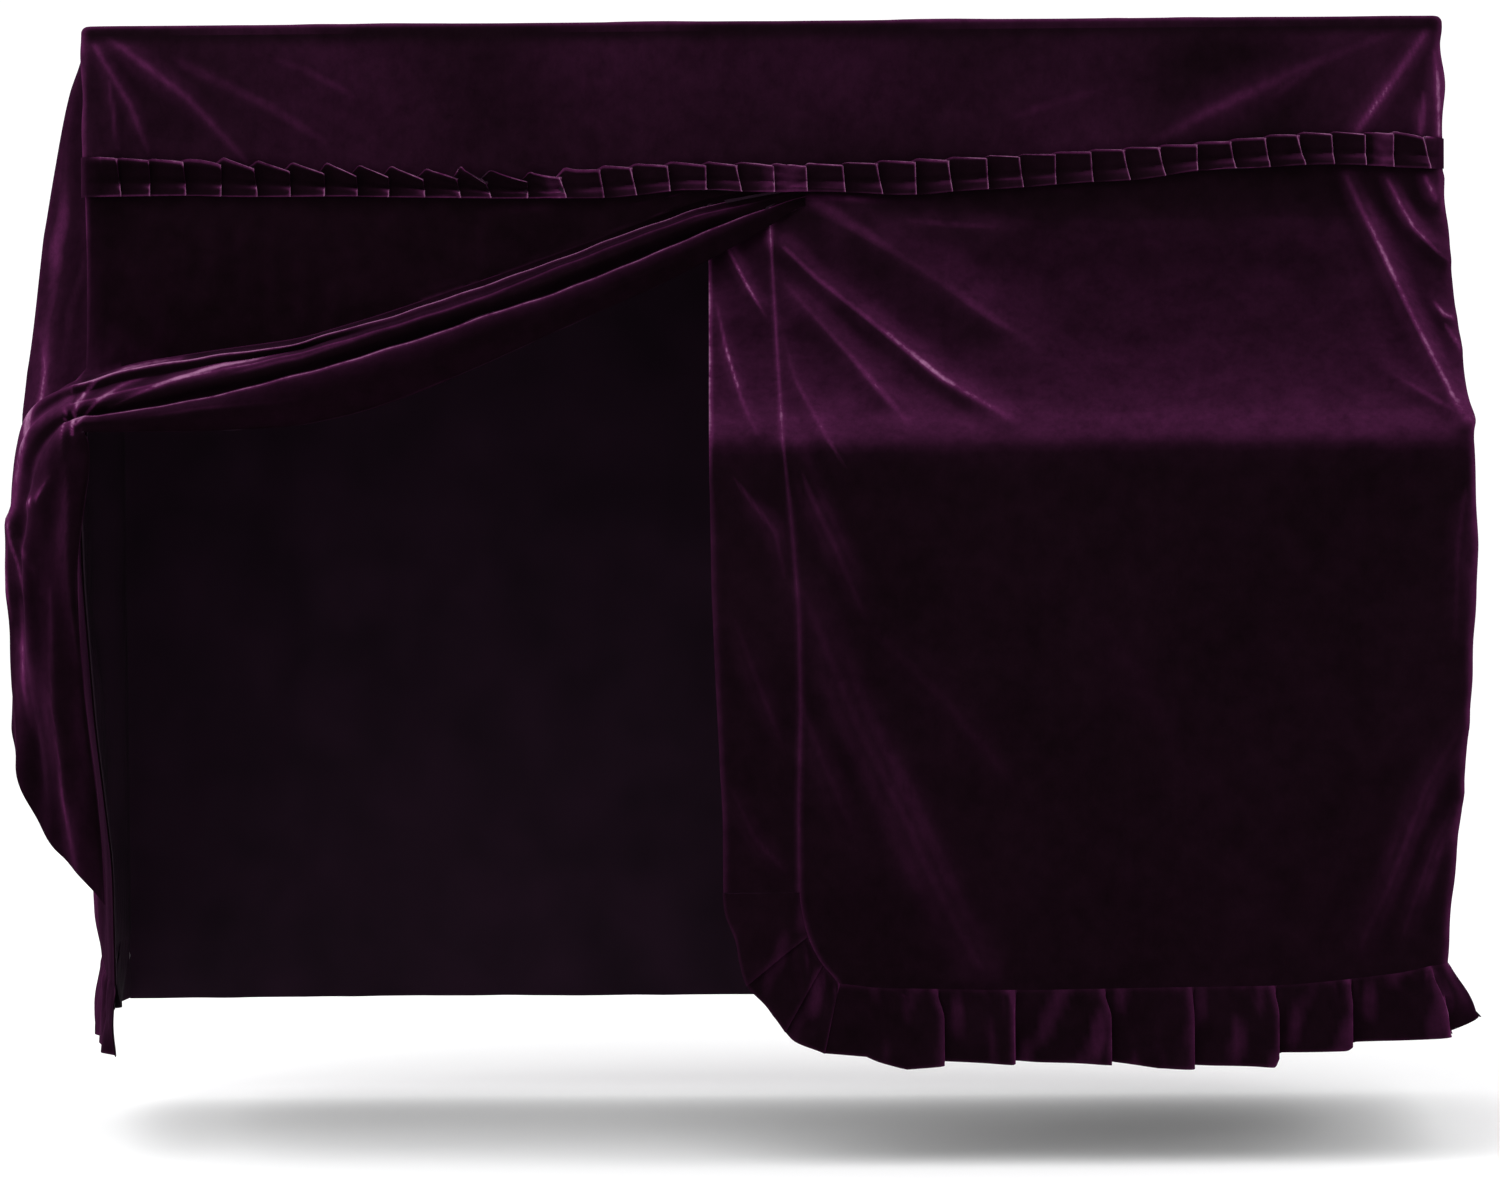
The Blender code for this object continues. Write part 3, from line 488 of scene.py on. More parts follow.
def velvet_material():
    """Cut pile: near black face on. Its colour carries a painted sheen where it is seen at a grazing angle,
    painted highlights on folds and painted shade.
    """
    pile = Surface("plum_velvet")
    broad = pile.noise(6, 3)
    cloudy = pile.noise(42, 4, 0.6)
    crushed = pile.noise(150, 3, 0.6, (1, 1, 0.55))
    grain = pile.noise(1400)

    body = pile.ramp(pile.total((broad, 0.45), (cloudy, 0.55)), (0.25, DARK), (0.77, DEEP))
    weight = pile.node("LayerWeight")
    pile.feed(weight, Blend=0.5)
    grazing = pile.ramp(weight.outputs["Facing"], *GRAZING)
    # the painted sheen fades to painted shade where the cloth faces down and is full where it faces up
    up = pile.node("SeparateXYZ")
    pile.feed(up, Vector=pile.node("NewGeometry").outputs["Normal"])
    height = pile.math("MULTIPLY_ADD", up.outputs["Z"], 0.5, 0.5)
    lit_from_above = pile.ramp(height, (0.28, 0.15), (0.55, 1))
    # painted highlights (above 0) and painted shade (below 0), set on each sheet's points
    brushed = pile.node("Attribute", attribute_name="brushed").outputs["Fac"]
    light = pile.math("MAXIMUM", brushed, 0)
    dark = pile.math("MINIMUM", brushed, 0)
    # lit is the painted sheen and painted highlights, which turn the colour towards BRIGHT and PALE
    lit = pile.total((grazing, lit_from_above), (light, 0.52))
    lit = pile.math("MULTIPLY", lit, pile.total((crushed, 0.7), (cloudy, 0.9)))
    lit = pile.math("MULTIPLY", lit, pile.math("ADD", dark, 1))
    color = pile.mix(pile.math("MINIMUM", lit, 1), body, BRIGHT)
    color = pile.mix(pile.ramp(lit, (0.36, 0), (0.72, 0.8)), color, PALE)
    color = pile.mix(1, color, pile.ramp(grain, (0.35, 0.82), (0.65, 1.12)), "MULTIPLY")
    # painted shade also darkens the pile's own colour
    color = pile.mix(1, color, pile.math("MULTIPLY_ADD", dark, 0.5, 1), "MULTIPLY")
    pile.bump(pile.total((cloudy, 1), (crushed, 0.35), (grain, 0.05)), 0.3, 0.004)
    pile.feed(pile.shader, Base_Color=color, Roughness=0.9, Specular_IOR_Level=0, Sheen_Weight=0.05,
        Sheen_Roughness=0.3, Sheen_Tint=(0.85, 0.25, 0.68, 1))
    pile.material.diffuse_color = BRIGHT
    return pile.material


def backing_material():
    """The woven ground of the velvet, which shows on the inside."""
    backing = Surface("woven_backing")
    waves = []
    for direction in ("X", "Z"):
        wave = backing.node("TexWave", bands_direction=direction)
        backing.feed(wave, Scale=260, Distortion=1.5, Detail=1, Vector=backing.where)
        waves.append(wave.outputs["Fac"])
    weave = backing.math("MULTIPLY", *waves)
    tone = backing.total((weave, 0.5), (backing.noise(14, 3), 0.5))
    color = backing.ramp(tone, (0.15, (0.006, 0.0025, 0.0055)), (0.7, (0.02, 0.007, 0.017)))
    backing.bump(weave, 0.4, 0.0006)
    backing.feed(backing.shader, Base_Color=color, Roughness=0.92, Specular_IOR_Level=0.08)
    return backing.material


def floor_material():
    floor = Surface("pale_floor")
    color = floor.ramp(floor.noise(0.8), (0.3, (0.95, 0.95, 0.955)), (0.7, (0.97, 0.97, 0.975)))
    floor.feed(floor.shader, Base_Color=color, Roughness=0.9)
    return floor.material


VELVET = velvet_material()
BACKING = backing_material()


def added(name, data):
    """A new object in the scene."""
    thing = bpy.data.objects.new(name, data)
    bpy.context.scene.collection.objects.link(thing)
    return thing


def cloth(name, grids, shines, flat, held, rests_on, area=None, thick=THICK):
    """A closed sheet whose outer face is one or more grids, with painted light and shade from `shines`.

    A grid's rows run downwards and its columns to the right as seen from outside. Grids share the points
    that they have in common. `flat`, the size the sheet was cut to, is not used.
    """
    title = name + "_cloth"
    points, shine, faces = [], [], []
    for grid, glow in zip(grids, shines):
        rows, columns = np.shape(grid)[:2]
        index = np.arange(rows * columns).reshape(rows, columns) + sum(len(p) for p in points)
        points.append(np.reshape(grid, (-1, 3)))
        shine.append(np.broadcast_to(glow, (rows, columns)).reshape(-1))
        faces.append(np.stack([index[:-1, :-1], index[1:, :-1], index[1:, 1:], index[:-1, 1:]],
            axis=-1).reshape(-1, 4))
    points, shine, faces = joined(*points), joined(*shine), joined(*faces)
    points = points - (0, 0, DATUM)
    _, first, same = np.unique(np.round(points, 5), axis=0, return_index=True, return_inverse=True)
    faces = [tuple(dict.fromkeys(face)) for face in same.reshape(-1)[faces].tolist()]
    mesh = bpy.data.meshes.new(title)
    mesh.from_pydata(points[first].tolist(), [], [face for face in faces if len(face) > 2])
    mesh.update()
    # painted highlights and painted shade, one value to a point, for the velvet's colour
    brushed = mesh.attributes.new("brushed", "FLOAT", "POINT")
    brushed.data.foreach_set("value", shine[first].astype(np.float32))
    mesh.materials.append(VELVET)
    mesh.materials.append(BACKING)
    piece = added(title, mesh)
    solidify = piece.modifiers.new("thickness", "SOLIDIFY")
    solidify.thickness = thick
    solidify.offset = -1
    solidify.material_offset = 1
    bpy.context.view_layer.update()
    solid = bpy.data.meshes.new_from_object(piece.evaluated_get(bpy.context.evaluated_depsgraph_get()))
    piece.modifiers.clear()
    piece.data = solid
    bpy.data.meshes.remove(mesh)
    solid.name = title
    solid.shade_smooth()
    solid.set_sharp_from_angle(angle=radians(60))
    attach(piece, "root")
    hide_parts(name)


# Pieces

def top_panel():
    """The panel over the lid, with its edge turned down a little."""
    half_x, half_y = HALF_WIDTH, (BACK - LID_FRONT) / 2
    turns = np.linspace(0, QUARTER, 7)
    rings = []
    for angle in turns:
        inset = LIP * (1 - cos(angle))
        z = DATUM + THICK - LIP * (1 - sin(angle))
        ring = []
        for quarter, (side_x, side_y) in enumerate(((1, -1), (1, 1), (-1, 1), (-1, -1))):
            start = (quarter - 1) * QUARTER
            ring += [(side_x * (half_x - CORNER) + (CORNER - inset) * cos(start + turn),
                side_y * (half_y - CORNER) + (CORNER - inset) * sin(start + turn), z)
                for turn in turns]
        rings.append(ring + ring[:1])
    rings = joined(np.array(rings[:1]) - (0, 0, EDGE_DROP), rings)
    # points along the straight edges
    full = []
    for k in range(rings.shape[1] - 1):
        a, b = rings[:, k], rings[:, k + 1]
        count = max(1, int(round(np.linalg.norm(b[0] - a[0]) / 0.01)))
        full += [a + (b - a) * share for share in np.arange(count) / count]
    rings = np.array(full + [rings[:, -1]]).transpose(1, 0, 2)
    inner = rings[-1]
    field = [inner * (1 - s, 1 - s, 1) for s in np.linspace(0, 1, 42)[1:-1]]
    field.append(np.broadcast_to([0, 0, DATUM + THICK], inner.shape))
    grid = joined(rings, np.array(field))[::-1]
    x, y = grid[..., 0], grid[..., 1]
    level = ease(0, 0.03, HALF_WIDTH - np.abs(x)) * ease(0, 0.03, half_y - np.abs(y))
    height = 0.0012 + 0.0011 * drift(x, y, 0.3, 3) + 0.0006 * drift(x, y, 0.09, 4)
    # faint patches of painted light
    shine = 0.1 * np.clip(drift(x, y, 0.25, 5), 0, 1)
    grid = grid + points_of(0, 0, level * height)
    cloth("top_panel", [grid], [shine], (1.516, 0.394), "laid", "front_valance")


def front_valance():
    """The upper front, from the lid's edge to the middle of the heading."""
    flat = HALF_WIDTH - CORNER
    corner = corner_columns(HALF_WIDTH, 13)
    along = joined(-corner[::-1], np.linspace(-flat, flat, 400), corner)[None, :]
    share = np.linspace(0, 1, 44)[:, None]
    z = (heading_seam(along) + SEAM_GAP) * share
    lift, shine = folds_at(VALANCE_FOLDS, along, z)
    fade = ease(0, 0.15, share) * ease(1, 0.8, share)
    lift = lift + 0.0012 * drift(along, z * 1.6, 0.16, 11) + 0.0006 * drift(along, z, 0.05, 12)
    grid = place(along, z, LID_FRONT, HALF_WIDTH, lift * fade)
    # faint painted light over the valance, painted shade where it turns round the corners, none at its top
    light = 0.07 + 0.05 * drift(along, z, 0.25, 13) - 0.7 * ease(0.742, HALF_WIDTH, np.abs(along))
    shine = np.maximum(shine, light) * ease(0, 0.1, share)
    cloth("front_valance", [grid], [shine], (1.516, 0.15), "hung", "top_panel")


def pleat_columns(ends, steps):
    """Columns through knife pleats as (place, lift, share of the pleat, how much shows, tooth, pleat)."""
    profile = spline(KNIFE_PLEAT, steps)[:-1]
    columns = []
    for number, (start, end) in enumerate(zip(ends, ends[1:])):
        for along, lift, shows, tooth in profile:
            if number or along >= FIRST_SHARE:
                spot = start + (end - start) * along
                columns.append((spot, lift, along, np.clip(shows, 0, 1), tooth, number))
    columns.append((ends[-1], 0.5, 1, 0, 0, len(ends) - 2))
    return np.array(columns)


def pleat_shares(ends):
    """The hem's pleat columns from 0 to 1, as (place, lift, share of the pleat, how much shows)."""
    share, lift, along, shows, _, _ = pleat_columns(ends, PLEAT_STEPS).T
    share = np.clip(share, 0, 1)
    share[0] = 0
    return share, lift, along, shows


def let_out(places):
    """Pleat columns let out flat, as they are where a seam gathers them."""
    return 0.88 * np.maximum.accumulate(places) + 0.12 * np.linspace(places[0], places[-1], len(places))


def header_ruffle():
    """The pleated heading: each pleat ends in a fold at its right and tucks under the next."""
    x, lift, along, shows, tooth, number = pleat_columns(HEADING_FOLDS, 3).T
    turned = corner_columns(HALF_WIDTH, 4)[:3]
    pad = np.zeros(len(turned))
    x = joined(-turned[::-1], x, turned)
    lift, shows, tooth = (joined(pad, v, pad) for v in (lift, shows, tooth))
    along = joined(pad + 0.5, np.clip(along, 0, 1), pad + 0.5)
    number = joined(pad, number, pad + len(HEADING_FOLDS)).astype(int)
    rng = np.random.RandomState(21)
    size = rng.uniform(0.75, 1.25, len(HEADING_FOLDS) + 1)[number]
    lean = rng.uniform(-0.005, 0.0005, len(HEADING_FOLDS) + 1)[number]
    lift = lift * ease(0.748, 0.725, np.abs(x))
    # where the heading is crumpled
    gathered = sum(ease(reach, 0, np.abs(x - middle))
        for middle, reach in ((0.025, 0.045), (-0.232, 0.03), (0.685, 0.03)))
    left = ease(-0.21, -0.26, x)
    at_end = ease(0.738, 0.748, np.abs(x))
    rows, shines = [], []
    for down in joined((0, 0.025, 0.055, 0.1, 0.16), np.linspace(0.22, 0.94, 12), (0.97, 1)):
        z = curve(HEADING_TOP, x) * (1 - down) + curve(HEADING_FOOT, x) * down
        z = z + tooth * size * curve(HEADING_SLANT, x, 0.01) * (1 - down) ** 1.5
        z = z + 0.0012 * drift(x, 0.4 * down, 0.09, 22) * (2 * down - 1)
        flare = 0.003 * (2 * down - 1) ** 2 + 0.0035 * ease(0.62, 1, down) * (1 - 0.6 * left)
        stitched = 1 - 0.45 * bell(down - 0.62, 0.1)
        rise = 0.0028 - 0.001 * ease(0.735, 0.748, np.abs(x)) \
            + lift * (HEADING_RELIEF * size * stitched + flare) \
            + 0.0016 * gathered * drift(x, 0.05 * down, 0.012, 23)
        rows.append(place(x - lean * (2 * down - 1) * shows, z, LID_FRONT, HALF_WIDTH, rise))
        # painted highlights along each pleat's fold, its top line and foot, in a band near the foot and
        # where the heading is crumpled; painted shade in the pleats' bodies and at the ends
        fold = bell(along - 1, 0.035) * shows
        fold = fold * (1 - 0.85 * left * ease(0.75, 0.6, down) * ease(0.05, 0.15, down))
        below_top, in_foot = ease(0.06, 0.12, down), ease(0.6, 0.7, down)
        top = ease(0.07, 0.01, down) * (0.6 + 0.4 * size * ease(0.2, 0.9, along))
        foot = (0.3 + 0.35 * left) * ease(0.93, 0.985, down)
        band = 0.6 * ease(0.7, 0.98, along) * in_foot * ease(0.97, 0.93, down) * left \
            * (0.7 + 0.3 * np.sin(down * 70))
        shade = -(0.18 + 0.62 * left) * below_top * (1 - 0.3 * left * in_foot) \
            - 0.22 * (1 - left) * below_top * ease(0.55, 0.05, along)
        bright = np.clip(0.95 * fold * (0.5 + 0.5 * size) + top + foot + band + 0.4 * gathered, 0, 1)
        shines.append((bright + shade * (1 - bright)) * (1 - at_end) - 0.6 * at_end)
    cloth("header_ruffle", [rows], [shines], (2.6, 0.042), "gathered", "front_valance", thick=0.0012)


def swag_rows_at(x):
    """The swag's rows at the given x, as points."""
    rows = []
    lines = [curve(table, x) for table in SWAG_LINES] + [0]
    left = ease(-0.4, -0.52, x)
    for row in SWAG_ROWS:
        above, share = row.line // 100, row.line % 100 / 100
        z = lines[above] * (1 - share) + lines[above + 1] * share + row.up * ease(GATHER_X, -0.02, x)
        out = row.out * (1 - left) + row.out_left * left
        out = out * ease(LID_FRONT, -0.215, z) * ease(GATHER_X + 0.03, -0.1, x)
        flat_y = LID_FRONT + (left_flat_y(z) - LID_FRONT) * ease(ARM_IN, ARM_X, x)
        y = flat_y + (front_y(z) - flat_y) * row.slope - out - 0.003 * ease(LID_FRONT, -0.2, z)
        rows.append(points_of(x, y, z))
    return np.array(rows)


def swag_light():
    """The painted highlight and painted shade on each fine row of the swag, bright along the crests and
    dark below them.
    """
    at = np.arange((len(SWAG_ROWS) - 1) * SWAG_STEPS + 1)
    light = np.zeros(len(at))
    for number, row in enumerate(SWAG_ROWS):
        gap = at - number * SWAG_STEPS
        light = light + row.shine * (1.7 * bell(gap, 0.8) + 0.9 * np.exp(-np.abs(gap) / 2) * (gap > 0))
    return light + SWAG_DARK


def tail_line(row, start):
    """A row's way from the swag at `start`, over the arm and down outside the side."""
    shoulder = np.array([row.tail_x + SHOULDER_IN, (start[1] + row.tail_y) / 2, start[2] - 0.01])
    landing = np.array([row.tail_x, row.tail_y, row.arm_z - ARM_DROP])
    line = [(1 - t) ** 2 * start + 2 * t * (1 - t) * shoulder + t ** 2 * landing
            for t in (0.25, 0.5, 0.75, 1)]
    for z in np.linspace(landing[2], row.hem, 8)[1:]:
        inward = ease(-0.62, row.hem, z)
        outward = TAIL_SPREAD * ease(-0.45, -0.53, z)
        line.append(np.array([row.tail_x + (row.foot_x - row.tail_x) * inward - outward, row.tail_y, z]))
    return line


def left_leaf():
    """Flat above, a swag of folds below, and a tail outside the left side."""
    x = joined(np.linspace(ARM_X, -0.6, 52), np.linspace(-0.596, -0.4, 46),
        np.linspace(-0.395, GATHER_X, 84))
    coarse = swag_rows_at(x)
    tails = [[line[0]] + tail_line(row, line[0]) for row, line in zip(SWAG_ROWS, coarse)]
    tail = spline(spline(np.array(tails), SWAG_STEPS).transpose(1, 0, 2), 7).transpose(1, 0, 2)[:, ::-1]
    net = joined(tail[:, :-1], spline(coarse, SWAG_STEPS), axis=1)
    rows, across, y, z = np.arange(len(net))[:, None], *np.moveaxis(net, -1, 0)
    on_tail = np.maximum(ease(-0.737, -0.748, across), ease(-0.44, -0.465, z))
    lift, shine = folds_at(SWAG_FOLDS, across, z)
    # the tail's folds lie on the rows that face the front
    seen = ease(SWAG_STEPS, 2 * SWAG_STEPS, rows)
    tail_lift, tail_shine = (seen * np.minimum(v, 1) for v in folds_at(TAIL_FOLDS, across, z))
    loose = ease(GATHER_X, -0.05, across)
    soft = 0.001 * drift(across * 0.35, z, 0.03, 34) * loose * (1 - on_tail)
    soft = soft + 0.0016 * drift(z * 0.3, y, 0.05, 31) * on_tail
    loose_rows = ease(0, 6, rows) * ease(len(net) - 1, len(net) - 7, rows)
    swag = lifted(net, (soft + lift * (1 - on_tail) + tail_lift * on_tail) * loose_rows)
    # painted streaks of light and painted shade on the tail, painted shade between the swag's crests and
    # painted highlights on its finer folds
    streaks = 0.12 * drift(z * 0.22, y * 1.3, 0.035, 33)
    dark = TAIL_DARK + 0.42 * ease(-0.5, -0.4, z)
    glow = (swag_light()[:, None] * (1 - shine) + FOLD_LIGHT * shine) * (1 - on_tail) \
        + ((dark + streaks) * (1 - tail_shine) + tail_shine) * on_tail
    # painted light along the swag's lowest fine rows
    glow = glow + 0.15 * ease(len(net) - 4, len(net) - 2, rows)

    head = heading_seam(x) - SEAM_GAP
    top = swag[0, -len(x):]
    below = np.maximum(LID_FRONT, (head + top[:, 2]) / 2)
    flat = [points_of(x, LID_FRONT, head)]
    for share in np.linspace(0, 1, 26)[:-1]:
        z = below + (top[:, 2] - below) * share
        y = LID_FRONT + (top[:, 1] - LID_FRONT) * share ** 1.3
        y = y + (left_flat_y(z) - y) * ease(ARM_IN, ARM_X, x) * (1 - share ** 6)
        room = ease(0, 0.02, below - top[:, 2]) * min(ease(0, 0.2, share), ease(1, 0.85, share))
        y = y - 0.0022 * room * (drift(x, z, 0.13, 35) + 0.5 * drift(x * 1.5, z * 0.6, 0.05, 36))
        flat.append(points_of(x, y, z))
    flat.append(top)
    corner = -corner_columns(HALF_WIDTH)[::-1]
    turned = [place(corner, line[0, 2], left_flat_y(line[0, 2]), curve(LEFT_HALF, line[0, 2], 0), 0)
        for line in flat[:-1]]
    turned.append(swag[0, -len(x) - len(corner):-len(x)])
    body = joined(np.array(turned), np.array(flat), axis=1)
    body_x = body[..., 0]
    # painted shade over the flat cloth, deeper towards the arm, with faint patches of painted light and a
    # painted highlight along the left corner
    body_glow = 0.06 * np.clip(drift(body_x, body[..., 2], 0.12, 37), 0, 1) - 0.18 \
        - 0.5 * ease(-0.66, -0.742, body_x) + 0.9 * bell(body_x + 0.7495, 0.0024)
    glow = np.clip(glow, -0.9, 1.4)
    cloth("left_leaf", [body, swag], [body_glow, glow], (0.8, 0.7), "gathered", "header_ruffle", area=0.44)


# Heights of the rows of the right leaf and its border
LEAF_ROWS = joined([LID_FRONT], np.arange(-0.19, -0.465, -0.0031), np.arange(-0.47, -0.927, -0.0063),
    np.linspace(-0.927, LEAF_END, 18))


def front_rise(along, z):
    """Folds of the right leaf and its border, and the painted highlights and painted shade on them."""
    lift, shine = folds_at(LEAF_FOLDS, along, z)
    soft = 0.0022 * drift(along, z, 0.17, 41) + 0.001 * drift(along, z * 0.8, 0.06, 42)
    fade = ease(0, 0.012, curve(HEADING_FOOT, along) - z)
    shine = shine * fade
    # near the gather the right leaf lies back, behind the left leaf
    tucked = 0.008 * ease(0.1, 0.06, along) * ease(-0.325, -0.275, z)
    return (lift + soft) * fade - tucked, shine + curve(LEAF_SHADE, z, 0.004) * (1 - shine)


def leaf_grid(left_of, right_of, columns, wrapped, spread=((0, 1), (0, 1))):
    """The fine grid of the right leaf or its border, between two edges that depend on height."""
    rows, shines = [], []
    heights = LEAF_ROWS if wrapped else np.append(LEAF_ROWS[LEAF_ROWS > BORDER_FOOT], BORDER_FOOT)
    for z in heights:
        half = curve(RIGHT_HALF, z) if wrapped else 1
        left, right = left_of(z), right_of(z, half)
        along = left + (right - left) * np.interp(np.linspace(0, 1, columns), *spread)
        if wrapped:
            along = joined(along, corner_columns(half))
        lines = [z]
        if z == heights[0]:
            head = heading_seam(along) - SEAM_GAP
            lines = [head + (z - head) * share for share in np.linspace(0, 1, 13)]
        for height in lines:
            height = np.broadcast_to(height, along.shape)
            if wrapped and z < BORDER_FOOT:
                down = (z - BORDER_FOOT) / (LEAF_END - BORDER_FOOT)
                height = height + down * (curve(LEAF_FOOT, along) - LEAF_END)
            lift, shine = front_rise(along, height)
            # the seam stands up a little, with a painted highlight along it
            gap = along - border_seam(height)
            light = (0.25 + 0.35 * ease(-0.5, -0.43, height)) * bell(gap, 0.0026)
            rows.append(place(along, height, front_y(height), half, lift + 0.0011 * bell(gap, 0.0035)))
            shines.append(shine + light * (1 - shine))
    return np.array(rows), np.array(shines)


def right_leaf():
    grid, shine = leaf_grid(lambda z: border_seam(z) + BORDER_GAP, lambda z, half: half - CORNER, 184, True,
        ((0, 0.44, 0.7, 1), (0, 0.36, 0.82, 1)))
    cloth("right_leaf", [grid], [shine], (0.76, 1.02), "draped", "header_ruffle")


def right_border():
    columns = 28
    grid, shine = leaf_grid(lambda z: curve(BORDER_EDGE, z, 0.01),
        lambda z, half: border_seam(z) - BORDER_GAP, columns, False)
    z = grid[:, :1, 2]
    # a painted highlight along the border's free edge
    edge = bell(np.arange(columns), 1.3) * ease(-0.2, -0.24, z)
    shine = shine + edge * (0.22 + 0.68 * ease(-0.5, -0.43, z)) * (1 - shine)
    cloth("right_border", [grid], [shine], (0.085, 0.9), "hung", "right_leaf")


def right_ruffle():
    """Pleated strip round the leaf's lower corner and along its hem."""
    # round the corner, from the border's foot
    z_in = np.linspace(BORDER_FOOT - 0.0002, LEAF_END, 40)
    inner = np.array([(curve(BORDER_SEAM, z, 0.004), z) for z in z_in])
    outer = np.array(CORNER_HEM)
    share, lift, along, shows = pleat_shares(CORNER_FOLDS)

    def on_line(line, shares):
        lengths = joined([0], np.cumsum(np.hypot(*np.diff(line, axis=0).T)))
        return np.stack([np.interp(shares * lengths[-1], lengths, line[:, k]) for k in (0, 1)], axis=-1)

    start = on_line(inner, let_out(share))
    end = on_line(outer, share) + 0.003 * np.sin(share * 17)[:, None] * (-0.7, -0.7)

    half = curve(RIGHT_HALF, -1.05)
    straight = half - CORNER
    x, hem_lift, hem_along, hem_shows, _, _ = pleat_columns(HEM_FOLDS[:-1] + (straight,), PLEAT_STEPS).T
    corner = corner_columns(half)
    level = 0 * corner
    tilt = joined(0.004 * (hem_lift - 0.5), level)
    seam_x = joined(let_out(x), corner)
    x = joined(x, corner)
    flare = ease(straight, straight + CORNER * 1.6, corner)
    hem_lift = joined(hem_lift, HEM_FLARE / HEM_RELIEF * flare)
    hem_along = joined(hem_along, level + 0.5)
    hem_shows = joined(hem_shows, level)
    foot = curve(LEAF_HEM, np.minimum(x, straight), 0.002) - tilt
    foot = foot + (SIDE_HEM - RUFFLE_DROP + HEM_LIFT - foot) * ease(straight, corner[-1], x)

    none = 0 * share
    inner_x = joined(start[:, 0], seam_x)
    inner_z = joined(start[:, 1], curve(LEAF_FOOT, seam_x, 0.015))
    lean = joined(none, 0.014 * np.interp(x, (0.65, straight, corner[-1]), (0, 1, 0)))
    outer_x = joined(end[:, 0], x + 0.004 * np.sin(x * 40) * hem_shows)
    outer_z = joined(end[:, 1], foot)
    relief = joined(0.55 * lift * ease(0, 0.3, share), hem_lift)
    edge_along = np.clip(joined(along, hem_along), 0, 1)
    shown = joined(0.25 * shows, hem_shows)
    as_border = joined(ease(0.45, 0.15, share), 0 * x)
    turned = joined(none, ease(straight + 0.008, straight + 0.02, x))
    at_corner = np.arange(len(inner_x)) < len(share)
    seam = front_rise(inner_x, inner_z)[0]
    rows, shines = [], []
    for down in np.linspace(0, 1, 22):
        out = np.where(at_corner, down, ease(0, LET_OUT, down))
        across = inner_x + (outer_x - inner_x) * out + lean * down
        z = inner_z + (outer_z - inner_z) * down
        base = seam * (1 - 0.5 * down)
        base = base + (front_rise(across, z)[0] - base) * as_border
        gathers = 0.003 * np.exp(-down / 0.3) * drift(across * 6, z, 0.08, 51) * ease(0, 0.08, down)
        waves = 0.004 * down * drift(across, z, 0.06, 52)
        spread = 0.15 * ease(0, 0.08, down) + 0.85 * down ** 0.7
        rise = base + relief * HEM_RELIEF * (spread + (down - spread) * turned) \
            + (gathers + waves) * (1 - as_border)
        rows.append(place(across, z, SHELF_FRONT, half, rise))
        # painted highlights on the pleats' folds, along the foot and in patches, and painted shade where
        # the strip turns round the corner
        light = 0.26 * bell(edge_along - 1, 0.05) * shown + 0.12 * ease(0.96, 1, down) \
            + 0.2 * np.clip(drift(across * 2, z * 0.8, 0.07, 53) - 0.35, 0, 1)
        light = np.clip(light + 0.05 * ease(0.05, 0, down), 0, 1)
        shines.append(light - 0.75 * turned * ease(0, 0.3, down))
    cloth("right_ruffle", [rows], [shines], (1.25, 0.088), "gathered", "right_leaf", thick=FINE_THICK)


# One side of the cover. `sign` is 1 on the right and -1 on the left, and `tuck` is how far it reaches in
# under the front's end.
Side = namedtuple("Side", "name sign front_of half tuck folds seed")
SIDES = (Side("right", 1, front_y, RIGHT_HALF, 0.002, RIGHT_SIDE_FOLDS, 71),
    Side("left", -1, left_flat_y, LEFT_HALF, 0.004, LEFT_SIDE_FOLDS, 81))


def side_y(side, share, z):
    """Depth along a side, from the end of the front corner to the back."""
    start = side.front_of(z) + CORNER + CORNER_PAST - side.tuck
    return start + (BACK - THICK - SEAM_GAP - start) * share


def side_face(side, share, z):
    """Depth, reach and light of a side at a share of its depth. It starts tucked under the front."""
    y = side_y(side, share, z)
    half = curve(side.half, z)
    fade = np.minimum(ease(0.025, 0.15, share), ease(1, 0.85, share))
    from_top = ease(-0.01, -0.06, z)
    lift, shine = folds_at(side.folds, y, z)
    soft = (0.0025 * drift(y, z * 0.7, 0.2, side.seed)
            + 0.0012 * drift(y, z * 0.5, 0.07, side.seed + 1)) * ease(0, -0.3, z)
    swell = (side.sign < 0) * curve(LEFT_SWELL, z, 0.03) * curve(LEFT_SWELL_SHARE, y)
    rise = ((lift + soft) * from_top + swell) * fade - (THICK + 0.0024) * ease(0.1, 0.025, share)
    return y, half + (HALF_WIDTH - half) * share + rise, shine * from_top


def side_cloth(name, side, grid, shine, *facts, **more):
    """A side's piece. On the left its columns run the other way."""
    if side.sign < 0:
        grid, shine = grid[:, ::-1], shine[:, ::-1]
    cloth(name + side.name, [grid], [shine], *facts, **more)


def side_panel(side):
    share = joined([0, 0.012, 0.025], np.linspace(0.032, 0.4, 76), np.linspace(0.41, 1, 50))
    z = np.linspace(0, SIDE_HEM, 176)[:, None]
    y, reach, shine = side_face(side, share[None, :], z)
    if side.sign < 0:
        # on the left, stronger painted highlights on the folds and painted shade over the front part,
        # deeper low down
        shine = 1.7 * shine - (0.68 + 0.2 * ease(-0.75, -0.9, z)) * ease(-0.04, -0.12, y)
    grid = points_of(side.sign * reach, y, z)
    side_cloth("side_", side, grid, shine, (0.62, 1.02), "hung", "top_panel", area=0.56)


